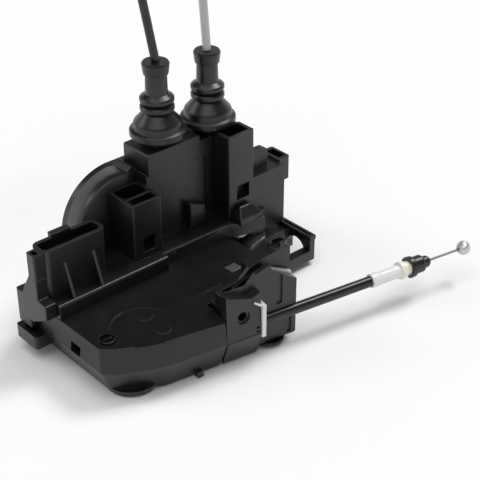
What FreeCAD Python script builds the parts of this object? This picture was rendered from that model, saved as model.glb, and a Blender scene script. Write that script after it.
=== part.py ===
import FreeCAD, Part
import math
import os
import re

# Side door latch with its lock actuator: the flat latch case lies on its steel faceplate (z = 0),
# and the actuator case with the connector, socket towers, cable box and boots stands on it.
# X runs along the case, Y towards its back, Z up. All lengths are in millimetres.

DIMENSIONS = {
    # flat latch case
    "wall": 2.0,
    "faceplate_top": 2.5,
    "shell_bottom": 0.5,
    "shell_slope": 6.0,
    "parting": 14.0,
    "cover_top": 25.0,
    "case_left": -1.0,
    "case_back": 60.0,
    "cover_draft": 2.2,
    "plate_left": 56.0,
    "plate_right": 143.0,
    "plate_front": -6.0,
    "mouth_front": 13.5,
    "plate_back": 62.0,
    "back_plate_top": 15.5,
    "tapped_hole_radius": 2.5,
    "collar_height": 3.5,
    # striker mouth, fork bolt and pawl
    "mouth_centre": 24.0,
    "mouth_width": 12.0,
    "mouth_end": 106.0,
    "mouth_roof": 12.0,
    "striker_radius": 5.0,
    "claw_x": 116.0,
    "claw_y": 43.0,
    "claw_radius": 22.0,
    "jaw_radius": 24.4,
    "claw_bottom": 3.0,
    "claw_top": 8.5,
    "pocket_top": 9.2,
    "pocket_gap": 0.8,
    "claw_open_angle": 50.0,
    "pawl_x": 97.0,
    "pawl_y": 15.0,
    "pawl_gap": 0.4,
    "rivet_radius": 4.0,
    "running_gap": 0.05,
    # upright actuator case
    "step_front": 27.0,
    "ledge_top": 32.0,
    "tower_front": 33.0,
    "wall_front": 44.0,
    "split": 62.4,
    "cover_back": 82.0,
    "taper_start": 66.0,
    "rear_left": 29.2,
    "rear_taper": 16.2,
    "left_end": 31.0,
    "main_right": 121.0,
    "case_right": 139.0,
    "wall_top": 64.7,
    "panel_top": 50.0,
    "panel_bottom": 17.4,
    "gear_x": 58.0,
    "gear_z": 38.0,
    "gear_house_radius": 28.0,
    "rear_top": 66.8,
    # connector and towers
    "connector_left": 0.0,
    "connector_right": 33.0,
    "connector_back": 44.6,
    "connector_top": 56.0,
    "lock_tower_left": 46.0,
    "lock_tower_right": 62.5,
    "lock_tower_top": 61.0,
    "key_tower_left": 102.6,
    "key_tower_right": 118.6,
    "key_tower_top": 75.5,
    # cable box, boots and control cables
    "box_left": 64.0,
    "box_step": 94.4,
    "box_right": 121.5,
    "box_back": 62.2,
    "box_top": 76.0,
    "box_low_top": 73.0,
    "seat_height": 3.5,
    "cable_y": 54.0,
    "inside_cable_x": 78.0,
    "lock_cable_x": 108.0,
    "boot_height": 35.2,
    "cord_radius": 2.0,
    "inner_wire_radius": 0.75,
    "barrel_radius": 2.0,
    # levers and gear drive
    "lever_thickness": 2.0,
    "inside_lever_front": 51.0,
    "lock_lever_front": 56.5,
    "inside_pivot_x": 96.0,
    "inside_pivot_z": 50.0,
    "lock_pivot_x": 88.0,
    "lever_pin_radius": 3.0,
    "tooth_count": 32.0,
    "gear_module": 1.1,
    "worm_pitch_radius": 3.5,
    "drive_y": 70.6,
    "gear_width": 4.0,
    "peg_radius": 2.0,
    "peg_reach": 12.0,
    "motor_radius": 6.0,
    "motor_length": 25.0,
    "motor_left": 76.0,
    "shaft_radius": 1.0,
    # block for the outside handle's lever and its cable
    "block_angle": -10.4,
    "block_x": 56.0,
    "block_y": -18.7,
    "block_depth": 12.4,
    "cable_height": 16.2,
    "block_left": -1.6,
    "block_right": 36.0,
    "block_top": 47.0,
    "block_bottom": 3.4,
    "front_wall_left": -2.75,
    "front_wall_bottom": 0.8,
    "front_wall_top": 38.0,
    "lever_slot_front": 2.5,
    "lever_slot_back": 5.9,
    "block_web": 7.9,
    "anchor_left": 14.8,
    "anchor_width": 2.0,
    "anchor_bottom": 11.3,
    "anchor_top": 28.4,
    "sheath_radius": 2.6,
    "pull_wire_radius": 0.6,
    "sheath_length": 60.8,
    "ferrule_length": 22.4,
    "cap_length": 12.1,
    "ball_radius": 3.5,
    "ball_reach": 21.9,
    "outside_pivot_u": 8.5,
    "outside_arm": 16.3,
    "outside_angle": 14.2,
}

doc = FreeCAD.newDocument("door_latch_actuator")
sheet = doc.addObject("Spreadsheet::Sheet", "sizes")
for row, (alias, value) in enumerate(DIMENSIONS.items(), start=1):
    sheet.set(f"A{row}", alias)
    sheet.set(f"B{row}", str(value))
    sheet.setAlias(f"B{row}", alias)
doc.recompute()


class Sizes:
    """The sheet's values, read by alias."""

    def __getattr__(self, alias):
        return float(sheet.get(alias))


s = Sizes()
UP = FreeCAD.Vector(0, 0, 1)
BACK = FreeCAD.Vector(0, 1, 0)
RIGHT = FreeCAD.Vector(1, 0, 0)
nodes = {}
cord_nodes = set()


def bind(thing, prop, text):
    """Ties a property to the sheet: each word in the text is an alias."""
    formula = re.sub(r"[a-z][a-z_]*", lambda found: "sizes." + found.group(0), str(text))
    thing.setExpression(prop, formula)


def node(thing, label, is_cord=False):
    """Marks a finished piece and gives it the name of its file."""
    thing.Label = label
    nodes[label] = thing
    if is_cord:
        cord_nodes.add(label)
    return thing


def corner_arc(before, here, after, radius):
    """Ends and curve of a round corner of an outline."""
    towards_start = (before - here).normalize()
    towards_end = (after - here).normalize()
    half_angle = towards_start.getAngle(towards_end) / 2
    trim = radius / math.tan(half_angle)
    start = here + towards_start * trim
    end = here + towards_end * trim
    centre = here + (towards_start + towards_end).normalize() * (radius / math.sin(half_angle))
    first = math.atan2(start.y - centre.y, start.x - centre.x)
    last = math.atan2(end.y - centre.y, end.x - centre.x)
    if (last - first) % (2 * math.pi) > math.pi:
        first, last = last, first
    if last < first:
        last += 2 * math.pi
    return start, end, Part.ArcOfCircle(Part.Circle(centre, UP, radius), first, last)


def outline_curves(corners):
    """Lines and arcs of a closed outline; a corner is (x, y) or (x, y, corner radius)."""
    points = [FreeCAD.Vector(corner[0], corner[1], 0) for corner in corners]
    radii = [corner[2] if len(corner) > 2 else 0 for corner in corners]
    curves, starts, ends = [], [], []
    for index, point in enumerate(points):
        before = points[index - 1]
        after = points[(index + 1) % len(points)]
        start = end = point
        if radii[index] > 0:
            start, end, arc = corner_arc(before, point, after, radii[index])
            curves.append(arc)
        starts.append(start)
        ends.append(end)
    for index, end in enumerate(ends):
        following = starts[(index + 1) % len(starts)]
        if end.distanceToPoint(following) > 1e-4:
            curves.append(Part.LineSegment(end, following))
    return curves


def ring(x, y, radius):
    """A round hole in an outline."""
    return [Part.Circle(FreeCAD.Vector(x, y, 0), UP, radius)]


def box_corners(left, low, right, high, radius=0.0):
    """A rectangle, with round corners where a radius is given."""
    return [(left, low, radius), (right, low, radius), (right, high, radius), (left, high, radius)]


def inset(corners, distance):
    """The same outline moved inwards; its corners run anticlockwise."""
    points = [FreeCAD.Vector(corner[0], corner[1], 0) for corner in corners]
    moved = []
    for index, point in enumerate(points):
        to_here = (point - points[index - 1]).normalize()
        onward = (points[(index + 1) % len(points)] - point).normalize()
        normal_before = UP.cross(to_here)
        normal_after = UP.cross(onward)
        shift = (normal_before + normal_after) * (distance / (1 + normal_before.dot(normal_after)))
        radius = corners[index][2] if len(corners[index]) > 2 else 0
        moved.append((point.x + shift.x, point.y + shift.y, max(radius - distance, 0)))
    return moved


def sketch_on(body, name, plane, level, outlines):
    """A sketch of closed outlines on one of the body's own planes, at a level along its normal."""
    sketch = body.newObject("Sketcher::SketchObject", name)
    role = {"top": "XY_Plane", "front": "XZ_Plane", "side": "YZ_Plane"}[plane]
    datum = [feature for feature in body.Origin.OriginFeatures if feature.Role == role][0]
    sketch.AttachmentSupport = [(datum, "")]
    sketch.MapMode = "FlatFace"
    sign = "-1" if plane == "front" else "1"
    bind(sketch, "AttachmentOffset.Base.z", f"{sign} * ({level})")
    for corners in outlines:
        curves = corners if not isinstance(corners[0], tuple) else outline_curves(corners)
        sketch.addGeometry(curves)
    return sketch


def prism(name, plane, low, high, *outlines):
    """A padded profile between two levels along the plane's axis; further outlines are holes."""
    body = doc.addObject("PartDesign::Body", name)
    sketch = sketch_on(body, name + "_outline", plane, low, outlines)
    pad = body.newObject("PartDesign::Pad", name + "_pad")
    pad.Profile = sketch
    pad.Reversed = plane == "front"
    bind(pad, "Length", f"({high}) - ({low})")
    return body


def lofted(name, plane, low, high, low_corners, high_corners):
    """A moulded block whose outline changes from one level to the other."""
    body = doc.addObject("PartDesign::Body", name)
    lower = sketch_on(body, name + "_low", plane, low, [low_corners])
    upper = sketch_on(body, name + "_high", plane, high, [high_corners])
    loft = body.newObject("PartDesign::AdditiveLoft", name + "_loft")
    loft.Profile = lower
    loft.Sections = [upper]
    loft.Ruled = True
    return body


def turned(name, profile, place=None, direction=UP):
    """A turned piece: its profile is (radius, height) along the direction from its place."""
    body = doc.addObject("PartDesign::Body", name)
    sketch = sketch_on(body, name + "_profile", "front", "0", [profile])
    revolution = body.newObject("PartDesign::Revolution", name + "_turn")
    revolution.Profile = sketch
    revolution.ReferenceAxis = (sketch, ["V_Axis"])
    revolution.Angle = 360
    if place is not None:
        body.Placement = FreeCAD.Placement(place, FreeCAD.Rotation(UP, direction))
    return body


def rod(name, place, direction, radius, length):
    """A round bar; radius and length are texts with sheet aliases."""
    bar = doc.addObject("Part::Cylinder", name)
    bind(bar, "Radius", radius)
    bind(bar, "Height", length)
    bar.Placement = FreeCAD.Placement(place, FreeCAD.Rotation(UP, direction))
    return bar


def ball(name, place, radius):
    sphere = doc.addObject("Part::Sphere", name)
    bind(sphere, "Radius", radius)
    sphere.Placement.Base = place
    return sphere


def fuse(name, *pieces):
    joined = doc.addObject("Part::MultiFuse", name)
    joined.Shapes = list(pieces)
    joined.Refine = True
    return joined


def cut(name, base, *tools):
    result = doc.addObject("Part::Cut", name)
    result.Base = base
    result.Tool = tools[0] if len(tools) == 1 else fuse(name + "_tools", *tools)
    result.Refine = True
    return result


def common(name, *pieces):
    shared = doc.addObject("Part::MultiCommon", name)
    shared.Shapes = list(pieces)
    return shared


def at(x, y, z):
    return FreeCAD.Vector(x, y, z)


def spin(thing, centre, axis, angle):
    """Turns a piece about a line through the centre."""
    turn = FreeCAD.Placement(at(0, 0, 0), FreeCAD.Rotation(axis, angle), centre)
    thing.Placement = turn.multiply(thing.Placement)
    return thing


# Outlines of the flat case: the cover's foot follows the shell, its top is drawn in by the draft

def shell_outline(draft):
    """Plan of the left part of the flat case, anticlockwise from its back left corner."""
    return [
        (s.case_left + 0.5 * draft, s.case_back - 0.2 * draft, 4),
        (s.case_left + 0.6 * draft, -3.6 + 1.3 * draft, 3),
        (4.0 + 0.4 * draft, -8.6 + 1.6 * draft, 3),
        (16.9 + 0.8 * draft, -15.2 + 1.1 * draft, 6),
        (27.0 + 0.4 * draft, -18.8 + 1.2 * draft, 4),
        (s.block_x - 3.8, -23.3 + 0.6 * draft, 0.4),
        (s.block_x - 2.6, -17.5, 1),
        (s.block_x - 1.0, -10.0, 1),
        (s.block_x - 0.6, s.case_back - 0.2 * draft, 1),
    ]


# Steel faceplate with the striker slot and three extruded, tapped holes

tapped_places = [
    (s.plate_left + 8, s.plate_front + 8),
    (s.plate_left + 8, s.plate_back - 9),
    (s.plate_right - 7, s.plate_back - 6.5),
]
slot_low = s.mouth_centre - s.mouth_width / 2
slot_high = s.mouth_centre + s.mouth_width / 2
slot_round = s.mouth_width / 2 - 0.05
claw_centre = at(s.claw_x, s.claw_y, 0)
pawl_centre = at(s.pawl_x, s.pawl_y, 0)
plate_corners = [
    (s.plate_left, s.plate_front, 4),
    (s.pawl_x + 1, s.plate_front, 8),
    (s.mouth_end - 2, s.mouth_front + s.wall, 5),
    (s.plate_right - s.wall, s.mouth_front + s.wall, 1),
    (s.plate_right - s.wall, slot_low, 0.5),
    (s.mouth_end, slot_low, slot_round),
    (s.mouth_end, slot_high, slot_round),
    (s.plate_right - s.wall, slot_high, 1),
    (s.plate_right - s.wall, s.plate_back, 5),
    (s.plate_left, s.plate_back, 4),
]
plate_holes = [ring(x, y, s.tapped_hole_radius) for x, y in tapped_places]
plate_holes.append(ring(s.claw_x, s.claw_y, s.rivet_radius))
plate_holes.append(ring(s.pawl_x, s.pawl_y, s.rivet_radius))
plate_sheet = prism("plate_sheet", "top", "0", "faceplate_top", plate_corners, *plate_holes)
collars = [
    prism(f"tapped_collar_{index}", "top", "faceplate_top", "faceplate_top + collar_height",
          ring(x, y, s.tapped_hole_radius + 2), ring(x, y, s.tapped_hole_radius))
    for index, (x, y) in enumerate(tapped_places, start=1)
]
node(fuse("faceplate_shape", plate_sheet, *collars), "faceplate")


# Plastic latch housing: pan over the claw and pawl, open shell on the left, arched mouth wall

shell_floor = [
    (s.case_left + s.shell_slope, s.case_back - 1.5, 4),
    (s.case_left + s.shell_slope, -1.5, 3),
    (s.case_left + s.shell_slope + 2.3, -4.4, 3),
    (s.case_left + s.shell_slope + 7.3, -7.6, 6),
    (25.0, -13.4, 4),
    (s.block_x - 3.8, -18.2, 0.4),
    (s.block_x - 2.6, -14.5, 1),
    (s.block_x - 1.0, -9.0, 1),
    (s.block_x - 0.6, s.case_back - 1.5, 1),
]
left_shell = lofted("left_shell", "top", "shell_bottom", "parting", shell_floor, shell_outline(0))
left_hollow = lofted("left_hollow", "top", "shell_bottom + wall", "parting + 1",
                     inset(shell_floor, 1.2 * s.wall), inset(shell_outline(0), s.wall))
pan_corners = [
    (s.plate_left - 2, s.plate_front, 3),
    (s.pawl_x + 1, s.plate_front, 8),
    (s.mouth_end - 2, s.mouth_front, 5),
    (s.plate_right, s.mouth_front, 1.5),
    (s.plate_right, s.plate_back, 4),
    (s.plate_left - 2, s.plate_back, 3),
]
pan = prism("latch_pan", "top", "faceplate_top", "parting", pan_corners)
mouth_rim = prism(
    "mouth_rim", "top", "parting", "parting + wall",
    box_corners(s.plate_right - 4, s.mouth_front, s.plate_right, s.plate_back - 24, 0.5),
    box_corners(s.plate_right - 2.7, s.mouth_front + 2, s.plate_right - 1.4, s.plate_back - 27),
)
round_foot = turned("round_foot", [(0, 0), (11.6, 0, 1), (12.4, 3), (0, 3)], at(16.5, -0.5, 0))
shell_hook = prism("shell_hook", "side", "39", "42", [(-18.4, 2.5), (-19, 0), (-16.5, 0), (-14, 2.5)])
tab_body = prism("tab_body", "top", "parting - 8", "parting - 1.5",
                 box_corners(s.case_left - 5.5, 38, s.case_left + 6, s.case_back - 6, 1.5))
tab_pocket = prism("tab_pocket", "top", "parting - 5", "parting",
                   box_corners(s.case_left - 3.5, 43, s.case_left + 0.8, s.case_back - 10, 0.5))
arch = prism("mouth_arch", "side", "mouth_end", "plate_right + 1",
             [(slot_low, 0), (slot_high, 0), (slot_high, s.mouth_roof, slot_round),
              (slot_low, s.mouth_roof, slot_round)])
claw_sweep = prism("claw_sweep", "top", "faceplate_top - 1", "pocket_top",
                   ring(s.claw_x, s.claw_y, s.jaw_radius + s.pocket_gap))
claw_room = prism("claw_room", "top", "faceplate_top - 2", "pocket_top + 1",
                  box_corners(s.plate_left, slot_low - 2, s.plate_right - s.wall, s.plate_back - s.wall))
claw_pocket = common("claw_pocket", claw_sweep, claw_room)
pawl_pocket = prism("pawl_pocket", "top", "faceplate_top - 1", "pocket_top", [
    (s.pawl_x - 13, s.pawl_y - 8, 4),
    (s.pawl_x + 7.5, s.pawl_y - 8, 4),
    (s.pawl_x + 7.5, s.pawl_y + 12, 1),
    (s.pawl_x + 4, s.pawl_y + 28, 1),
    (s.pawl_x - 13, s.pawl_y + 28, 4),
])
spring_wells = [rod(f"spring_well_{index}", at(x, y, 0), UP, "rivet_radius + 3.4", "parting + 1")
                for index, (x, y) in enumerate([(s.claw_x, s.claw_y), (s.pawl_x, s.pawl_y)])]
collar_holes = [rod(f"collar_hole_{index}", at(x, y, 0), UP, "tapped_hole_radius + 2.2",
                    "faceplate_top + collar_height + 0.5")
                for index, (x, y) in enumerate(tapped_places)]
collar_holes += [rod(f"screw_room_{index}", at(x, y, 3), UP, "tapped_hole_radius + 0.8", "parting - 4.5")
                 for index, (x, y) in enumerate(tapped_places)]
mouth_skylight = prism("mouth_skylight", "top", "pocket_top - 1", "parting + 3",
                       box_corners(s.mouth_end + 17, s.mouth_front - 1, s.plate_right - 4, slot_high, 2))
rim_notches = prism("rim_notches", "side", "plate_right - 1", "plate_right + 1",
                    box_corners(s.mouth_front + 1.2, 4, s.mouth_front + 2.8, 11))
housing_solid = fuse("housing_solid", left_shell, pan, mouth_rim, round_foot, shell_hook, tab_body)
node(cut("latch_housing_shape", housing_solid, left_hollow, tab_pocket, arch, claw_pocket,
         pawl_pocket, mouth_skylight, rim_notches, *spring_wells, *collar_holes), "latch_housing")


# Fork bolt: drawn closed with its notch towards the front, then turned to its open rest place

def polar(radius, angle):
    """Point at an angle about the claw's rivet."""
    turn = math.radians(angle)
    return s.claw_x + radius * math.cos(turn), s.claw_y + radius * math.sin(turn)


def claw_outline():
    """Fork bolt in its closed place, anticlockwise from the catching jaw."""
    half_notch = s.striker_radius + 0.6
    notch_depth = s.claw_y - s.mouth_centre - s.striker_radius
    jaw_low = s.claw_y - math.sqrt(s.jaw_radius ** 2 - half_notch ** 2)
    return [
        (s.claw_x + half_notch, jaw_low + 0.8, 1),
        (*polar(s.jaw_radius, -58), 2),
        (*polar(14.0, -35), 4),
        (*polar(12.0, 30), 6),
        (*polar(12.5, 90), 5),
        (*polar(s.claw_radius, 134), 3),
        (*polar(s.claw_radius + 0.1, 150), 6),
        (*polar(s.claw_radius, 164), 0),
        (*polar(s.claw_radius - 4, 165), 0.8),
        (*polar(s.claw_radius - 0.3, 176), 0),
        (*polar(s.claw_radius, 190), 0),
        (*polar(s.claw_radius - 6, 191), 1.2),
        (*polar(s.claw_radius - 5, 216), 1.5),
        (*polar(s.jaw_radius, 228), 2),
        (*polar(s.jaw_radius + 0.6, 242), 6),
        (s.claw_x - half_notch, jaw_low + 0.8, 1),
        (s.claw_x - half_notch, s.claw_y - notch_depth + 1, half_notch - 0.1),
        (s.claw_x + half_notch, s.claw_y - notch_depth + 1, half_notch - 0.1),
    ]


claw = prism("claw_blank", "top", "claw_bottom", "claw_top", claw_outline(),
             ring(s.claw_x, s.claw_y, s.rivet_radius + 1 + s.running_gap))
node(spin(claw, claw_centre, UP, s.claw_open_angle), "fork_bolt")


# Pawl: its nose lies just off the fork bolt's rim

nose_angle = 197.0
nose_x, nose_y = polar(s.claw_radius + s.pawl_gap, nose_angle)
node(prism("pawl_blank", "top", "claw_bottom", "claw_top", [
    (s.pawl_x - 6, s.pawl_y - 5.5, 5),
    (s.pawl_x + 5.5, s.pawl_y - 5.5, 5),
    (s.pawl_x + 5.5, s.pawl_y + 5, 4),
    (nose_x + 0.9, nose_y - 7, 2),
    (nose_x, nose_y + 1.5, 0.6),
    (nose_x - 2.2, nose_y + 1.8, 0.8),
    (nose_x - 6.5, nose_y - 6, 4),
    (s.pawl_x - 7.5, s.pawl_y + 2, 4),
], ring(s.pawl_x, s.pawl_y, s.rivet_radius + 1 + s.running_gap)), "pawl")


# Shouldered rivets that carry the claw and the pawl between faceplate and back plate

def pivot_rivet(name, place):
    grip = s.rivet_radius - 0.02
    return turned(name, [
        (0, 0.3), (grip - 0.6, 0.3), (grip, 0.9), (grip, s.faceplate_top + 0.2),
        (s.rivet_radius + 1, s.faceplate_top + 0.2), (s.rivet_radius + 1, s.parting),
        (grip, s.parting), (grip, s.back_plate_top),
        (s.rivet_radius + 2, s.back_plate_top), (s.rivet_radius + 1.2, s.back_plate_top + 1.6),
        (0, s.back_plate_top + 1.6),
    ], place)


node(pivot_rivet("claw_rivet_body", claw_centre), "claw_rivet")
node(pivot_rivet("pawl_rivet_body", pawl_centre), "pawl_rivet")

# Steel back plate riveted over the housing
node(prism("back_plate_body", "top", "parting", "back_plate_top", [
    (s.pawl_x - 9, s.pawl_y - 9, 5),
    (s.pawl_x + 8, s.pawl_y - 9, 5),
    (s.pawl_x + 12, s.mouth_centre + 2, 4),
    (s.claw_x + 10, s.claw_y - 12, 5),
    (s.claw_x + 14, s.claw_y + 11, 6),
    (s.pawl_x - 9, s.claw_y + 11, 6),
], ring(s.claw_x, s.claw_y, s.rivet_radius), ring(s.pawl_x, s.pawl_y, s.rivet_radius)), "back_plate")

# Cover of the flat case: drafted walls, flat top with the screw pocket and the round recess

cover_foot = shell_outline(0)
cover_head = shell_outline(s.cover_draft)
cover_block = lofted("cover_block", "top", "parting", "cover_top", cover_foot, cover_head)
cover_hollow = lofted("cover_hollow", "top", "parting - 0.5", "cover_top - wall",
                      inset(cover_foot, s.wall), inset(cover_head, s.wall + 0.3))
cover_right = prism("cover_right", "top", "parting", "cover_top", [
    (s.block_x - 4, -5.8, 0), (s.block_x + 2.3, -6.1, 0), (s.pawl_x - 3, -12.7, 3),
    (s.pawl_x + 3, -3.0, 4), (s.pawl_x + 3, s.case_back, 1), (s.block_x - 4, s.case_back, 0),
])
cover_right_hollow = prism("cover_right_hollow", "top", "parting - 0.5", "cover_top - wall", [
    (s.block_x - 8, -4, 0), (s.block_x + 2.5, -4, 0), (s.pawl_x - 4, -10, 2),
    (s.pawl_x + 1, -2.0, 3), (s.pawl_x + 1, s.case_back - s.wall, 1),
    (s.block_x - 8, s.case_back - s.wall, 1),
])
plate_notch = prism("plate_notch", "top", "parting - 1", "back_plate_top + 2.1",
                    box_corners(s.pawl_x, s.pawl_y - 10, s.pawl_x + 4, s.claw_y + 12))
screw_x, screw_y = 7.2, 2.2
screw_boss = turned("screw_boss", [(0, 13), (4.4, 13), (4.4, s.cover_top - 1), (0, s.cover_top - 1)],
                    at(screw_x, screw_y, 0))
screw_pocket = rod("screw_pocket", at(screw_x, screw_y, s.cover_top - 1.6), UP, "4.4", "2.6")
screw_hole = rod("screw_hole", at(screw_x, screw_y, s.shell_bottom + 1), UP, "1.6", "cover_top")
round_recess = rod("round_recess", at(24, -0.5, s.cover_top - 0.6), UP, "14.5", "2")
small_disc = rod("small_disc", at(30, 5.9, s.cover_top - 1), UP, "3.5", "0.7")
other_disc = rod("other_disc", at(29.9, -6.8, s.cover_top - 1), UP, "3.5", "0.7")
top_rib = prism("top_rib", "top", "cover_top - 1", "cover_top + 0.8",
                box_corners(56, 1.0, 70, 2.4, 0.6))
insert_x, insert_y = 83.3, 8.4
insert_hole = prism("insert_hole", "top", "cover_top - wall - 1", "cover_top + 1",
                    box_corners(insert_x - 3.3, insert_y - 2.8, insert_x + 3.3, insert_y + 2.8, 0.6))
hook_notch = prism("hook_notch", "top", "parting - 1", "parting + 5",
                   box_corners(s.case_left - 1, 12, s.case_left + s.wall + 0.6, 19))
cover_solid = fuse("cover_solid",
                   cut("cover_shell", fuse("cover_outer", cover_block, cover_right),
                       cover_hollow, cover_right_hollow, round_recess),
                   top_rib, small_disc, other_disc, screw_boss)
node(cut("latch_cover_shape", cover_solid, screw_pocket, screw_hole, insert_hole, hook_notch,
         plate_notch),
     "latch_cover")
node(prism("insert_body", "top", "cover_top - wall", "cover_top + 0.4",
           box_corners(insert_x - 3.1, insert_y - 2.6, insert_x + 3.1, insert_y + 2.6, 0.4)),
     "cover_insert")


# Upright actuator case, front half

def case_profile():
    """Front view of the actuator case with the slanted corner over the gear."""
    return [
        (s.left_end, s.cover_top, 2),
        (s.main_right, s.cover_top, 0),
        (s.main_right, s.panel_bottom, 0),
        (s.case_right, s.panel_bottom, 2),
        (s.case_right, s.panel_top, 2),
        (s.main_right, s.panel_top, 0),
        (s.main_right, s.wall_top, 2),
        (s.box_left - 0.3, s.wall_top, 0),
        (s.box_left - 3, s.wall_top + 4.5, 1),
        (s.left_end, s.gear_z + 8, 10),
    ]


main_block = prism("main_block", "front", "wall_front", "split", case_profile())
main_hollow = prism("main_hollow", "front", "wall_front + wall", "split + 1",
                    inset(case_profile(), s.wall))
left_relief = prism("left_relief", "front", "wall_front - 1", "wall_front + 8", [
    (s.left_end - 1, s.cover_top + 7, 0), (s.lock_tower_right, s.cover_top + 7, 0),
    (s.lock_tower_right, s.rear_top + 8, 0), (s.left_end - 1, s.rear_top + 8, 0),
])
left_back = prism("left_back", "front", "wall_front + 8", "wall_front + 10", [
    (s.left_end + 1, s.cover_top + 3, 0), (s.lock_tower_right + 1.5, s.cover_top + 3, 0),
    (s.lock_tower_right + 1.5, s.wall_top - 0.5, 0), (s.lock_tower_right - 2, s.rear_top - 0.5, 0),
    (s.left_end + 1, s.gear_z + 7.6, 8),
])
relief_side = prism("relief_side", "front", "wall_front", "wall_front + 9",
                    box_corners(s.lock_tower_right, s.cover_top + 1, s.lock_tower_right + s.wall,
                                s.wall_top))
foot_step = prism("foot_step", "side", "case_left + 1.4", "lock_tower_right - 2", [
    (s.step_front, s.cover_top), (s.wall_front + 8, s.cover_top),
    (s.wall_front + 8, s.ledge_top), (s.step_front, s.ledge_top, 1.2)])
second_step = prism("second_step", "side", "lock_tower_right - 3", "key_tower_left + 1", [
    (s.step_front + 4.5, s.cover_top), (s.wall_front + 1, s.cover_top),
    (s.wall_front + 1, s.ledge_top - 1), (s.step_front + 4.5, s.ledge_top - 1, 1)])
sweep_ramp = prism("sweep_ramp", "side", "lock_tower_right + 6", "key_tower_right", [
    (s.step_front - 9, s.cover_top), (s.step_front + 6, s.cover_top),
    (s.step_front + 6, s.ledge_top - 1), (s.step_front + 4, s.ledge_top - 1),
    (s.step_front - 1, s.cover_top + 1, 6)])
lock_tower = prism("lock_tower", "top", "ledge_top - 1", "lock_tower_top",
                   box_corners(s.lock_tower_left, s.tower_front, s.lock_tower_right,
                               s.wall_front + 8, 1.2))
slot_pocket = prism("slot_pocket", "top", "ledge_top + 3", "lock_tower_top + 1",
                    box_corners(s.lock_tower_left + 1.6, s.tower_front + 1.5,
                                s.lock_tower_right - 1.6, s.tower_front + 6.3, 0.4))
deep_pocket = prism("deep_pocket", "top", "ledge_top + 3", "lock_tower_top + 1",
                    box_corners(s.lock_tower_left + 1.6, s.tower_front + 7.8,
                                s.lock_tower_right - 1.6, s.wall_front + 6.6, 2.5))
tower_window = prism("tower_window", "front", "tower_front - 1", "tower_front + 3",
                     box_corners(s.lock_tower_left + 5.3, s.ledge_top + 3.5,
                                 s.lock_tower_right - 4.5, s.ledge_top + 11, 0.3))
key_tower = prism("key_tower", "top", "cover_top", "key_tower_top",
                  box_corners(s.key_tower_left, s.tower_front, s.key_tower_right,
                              s.wall_front, 0.8))
key_pocket = prism("key_pocket", "top", "panel_top", "key_tower_top + 1",
                   box_corners(s.key_tower_left + 1.8, s.tower_front + 1.8,
                               s.key_tower_right - 1.8, s.wall_front - 0.8, 0.4))
key_window = prism("key_window", "front", "tower_front - 1", "tower_front + 4",
                   box_corners(107.7, 41, 115.6, 48.6, 0.3))
half_dome = common("half_dome", ball("dome_ball", at(117.0, s.tower_front + 1, 30.0), "8.2"),
                   prism("dome_room", "front", "tower_front - 8", "tower_front + 2",
                         box_corners(108, 30, 126, 40)))
right_panel = prism("right_panel", "front", "tower_front", "wall_front + 1",
                    box_corners(s.key_tower_right - 1, s.panel_bottom, s.case_right,
                                s.panel_top - 0.6, 1.5))
panel_hollow = prism("panel_hollow", "front", "tower_front + wall", "wall_front + 2 * wall",
                     box_corners(s.key_tower_right + 1, s.panel_bottom + s.wall,
                                 s.case_right - s.wall, s.panel_top - s.wall - 0.6, 1))
rear_socket = prism("rear_socket", "top", "panel_top - 12", "panel_top + 0.4",
                    box_corners(s.case_right - 0.5, s.tower_front + 3.8, s.case_right + 7.2,
                                s.tower_front + 16.9, 1.2))
socket_mouth = prism("socket_mouth", "top", "panel_top - 9", "panel_top + 1",
                     box_corners(s.case_right + 1.3, s.tower_front + 5.6, s.case_right + 5.9,
                                 s.tower_front + 15.1, 0.6))
panel_tab = prism("panel_tab", "front", "tower_front + 5", "tower_front + 8",
                  box_corners(s.key_tower_right - 1, s.panel_top - 4, 132, 60.5, 3.8))
wall_boss = fuse("wall_boss", rod("wall_boss_post", at(90, s.wall_front, s.ledge_top - 2), UP,
                                  "6.2", "10"),
                 ball("wall_boss_top", at(90, s.wall_front, s.ledge_top + 8), "6.2"))
boss_slot = prism("boss_slot", "front", "wall_front - 8", "wall_front - 3",
                  box_corners(88.2, s.ledge_top, 89.6, s.ledge_top + 12))
wall_groove = prism("wall_groove", "front", "wall_front - 1", "wall_front + 1",
                    box_corners(96.4, s.ledge_top + 2, 98.4, s.wall_top + 1))
left_block = fuse("left_block", prism("left_block_low", "top", "parting + 0.3", "ledge_top - 1",
                                      box_corners(s.case_left - 3.5, s.wall_front,
                                                  s.case_left - 0.3, s.case_back - 6, 1)),
                  prism("left_block_high", "top", "cover_top", "ledge_top - 1",
                        box_corners(s.case_left - 3.5, s.wall_front, s.case_left + 4,
                                         s.case_back - 6, 1)))
case_shell = cut("case_shell", main_block, main_hollow, left_relief)
case_solid = fuse("case_solid", case_shell, left_block, left_back, relief_side, foot_step, second_step,
                  sweep_ramp, lock_tower, key_tower, half_dome, right_panel, rear_socket, panel_tab,
                  wall_boss)
wire_holes = [rod(f"wire_hole_{index}", at(x, s.cable_y, s.wall_top - 4), UP, "3", "6")
              for index, x in enumerate((s.inside_cable_x, s.lock_cable_x))]
case_room = prism("case_room", "front", "wall_front + wall", "split + 1", [
    (s.lock_tower_right + 2, s.cover_top + s.wall), (s.main_right - s.wall, s.cover_top + s.wall),
    (s.main_right - s.wall, s.wall_top - s.wall), (s.lock_tower_right + 2, s.wall_top - s.wall)])
node(cut("actuator_housing_shape", case_solid, slot_pocket, deep_pocket, tower_window, key_pocket,
         socket_mouth, key_window, panel_hollow, boss_slot, wall_groove, case_room, *wire_holes),
     "actuator_housing")


# Rear half of the actuator case: round over the gear, with its own front wall below the step

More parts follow.
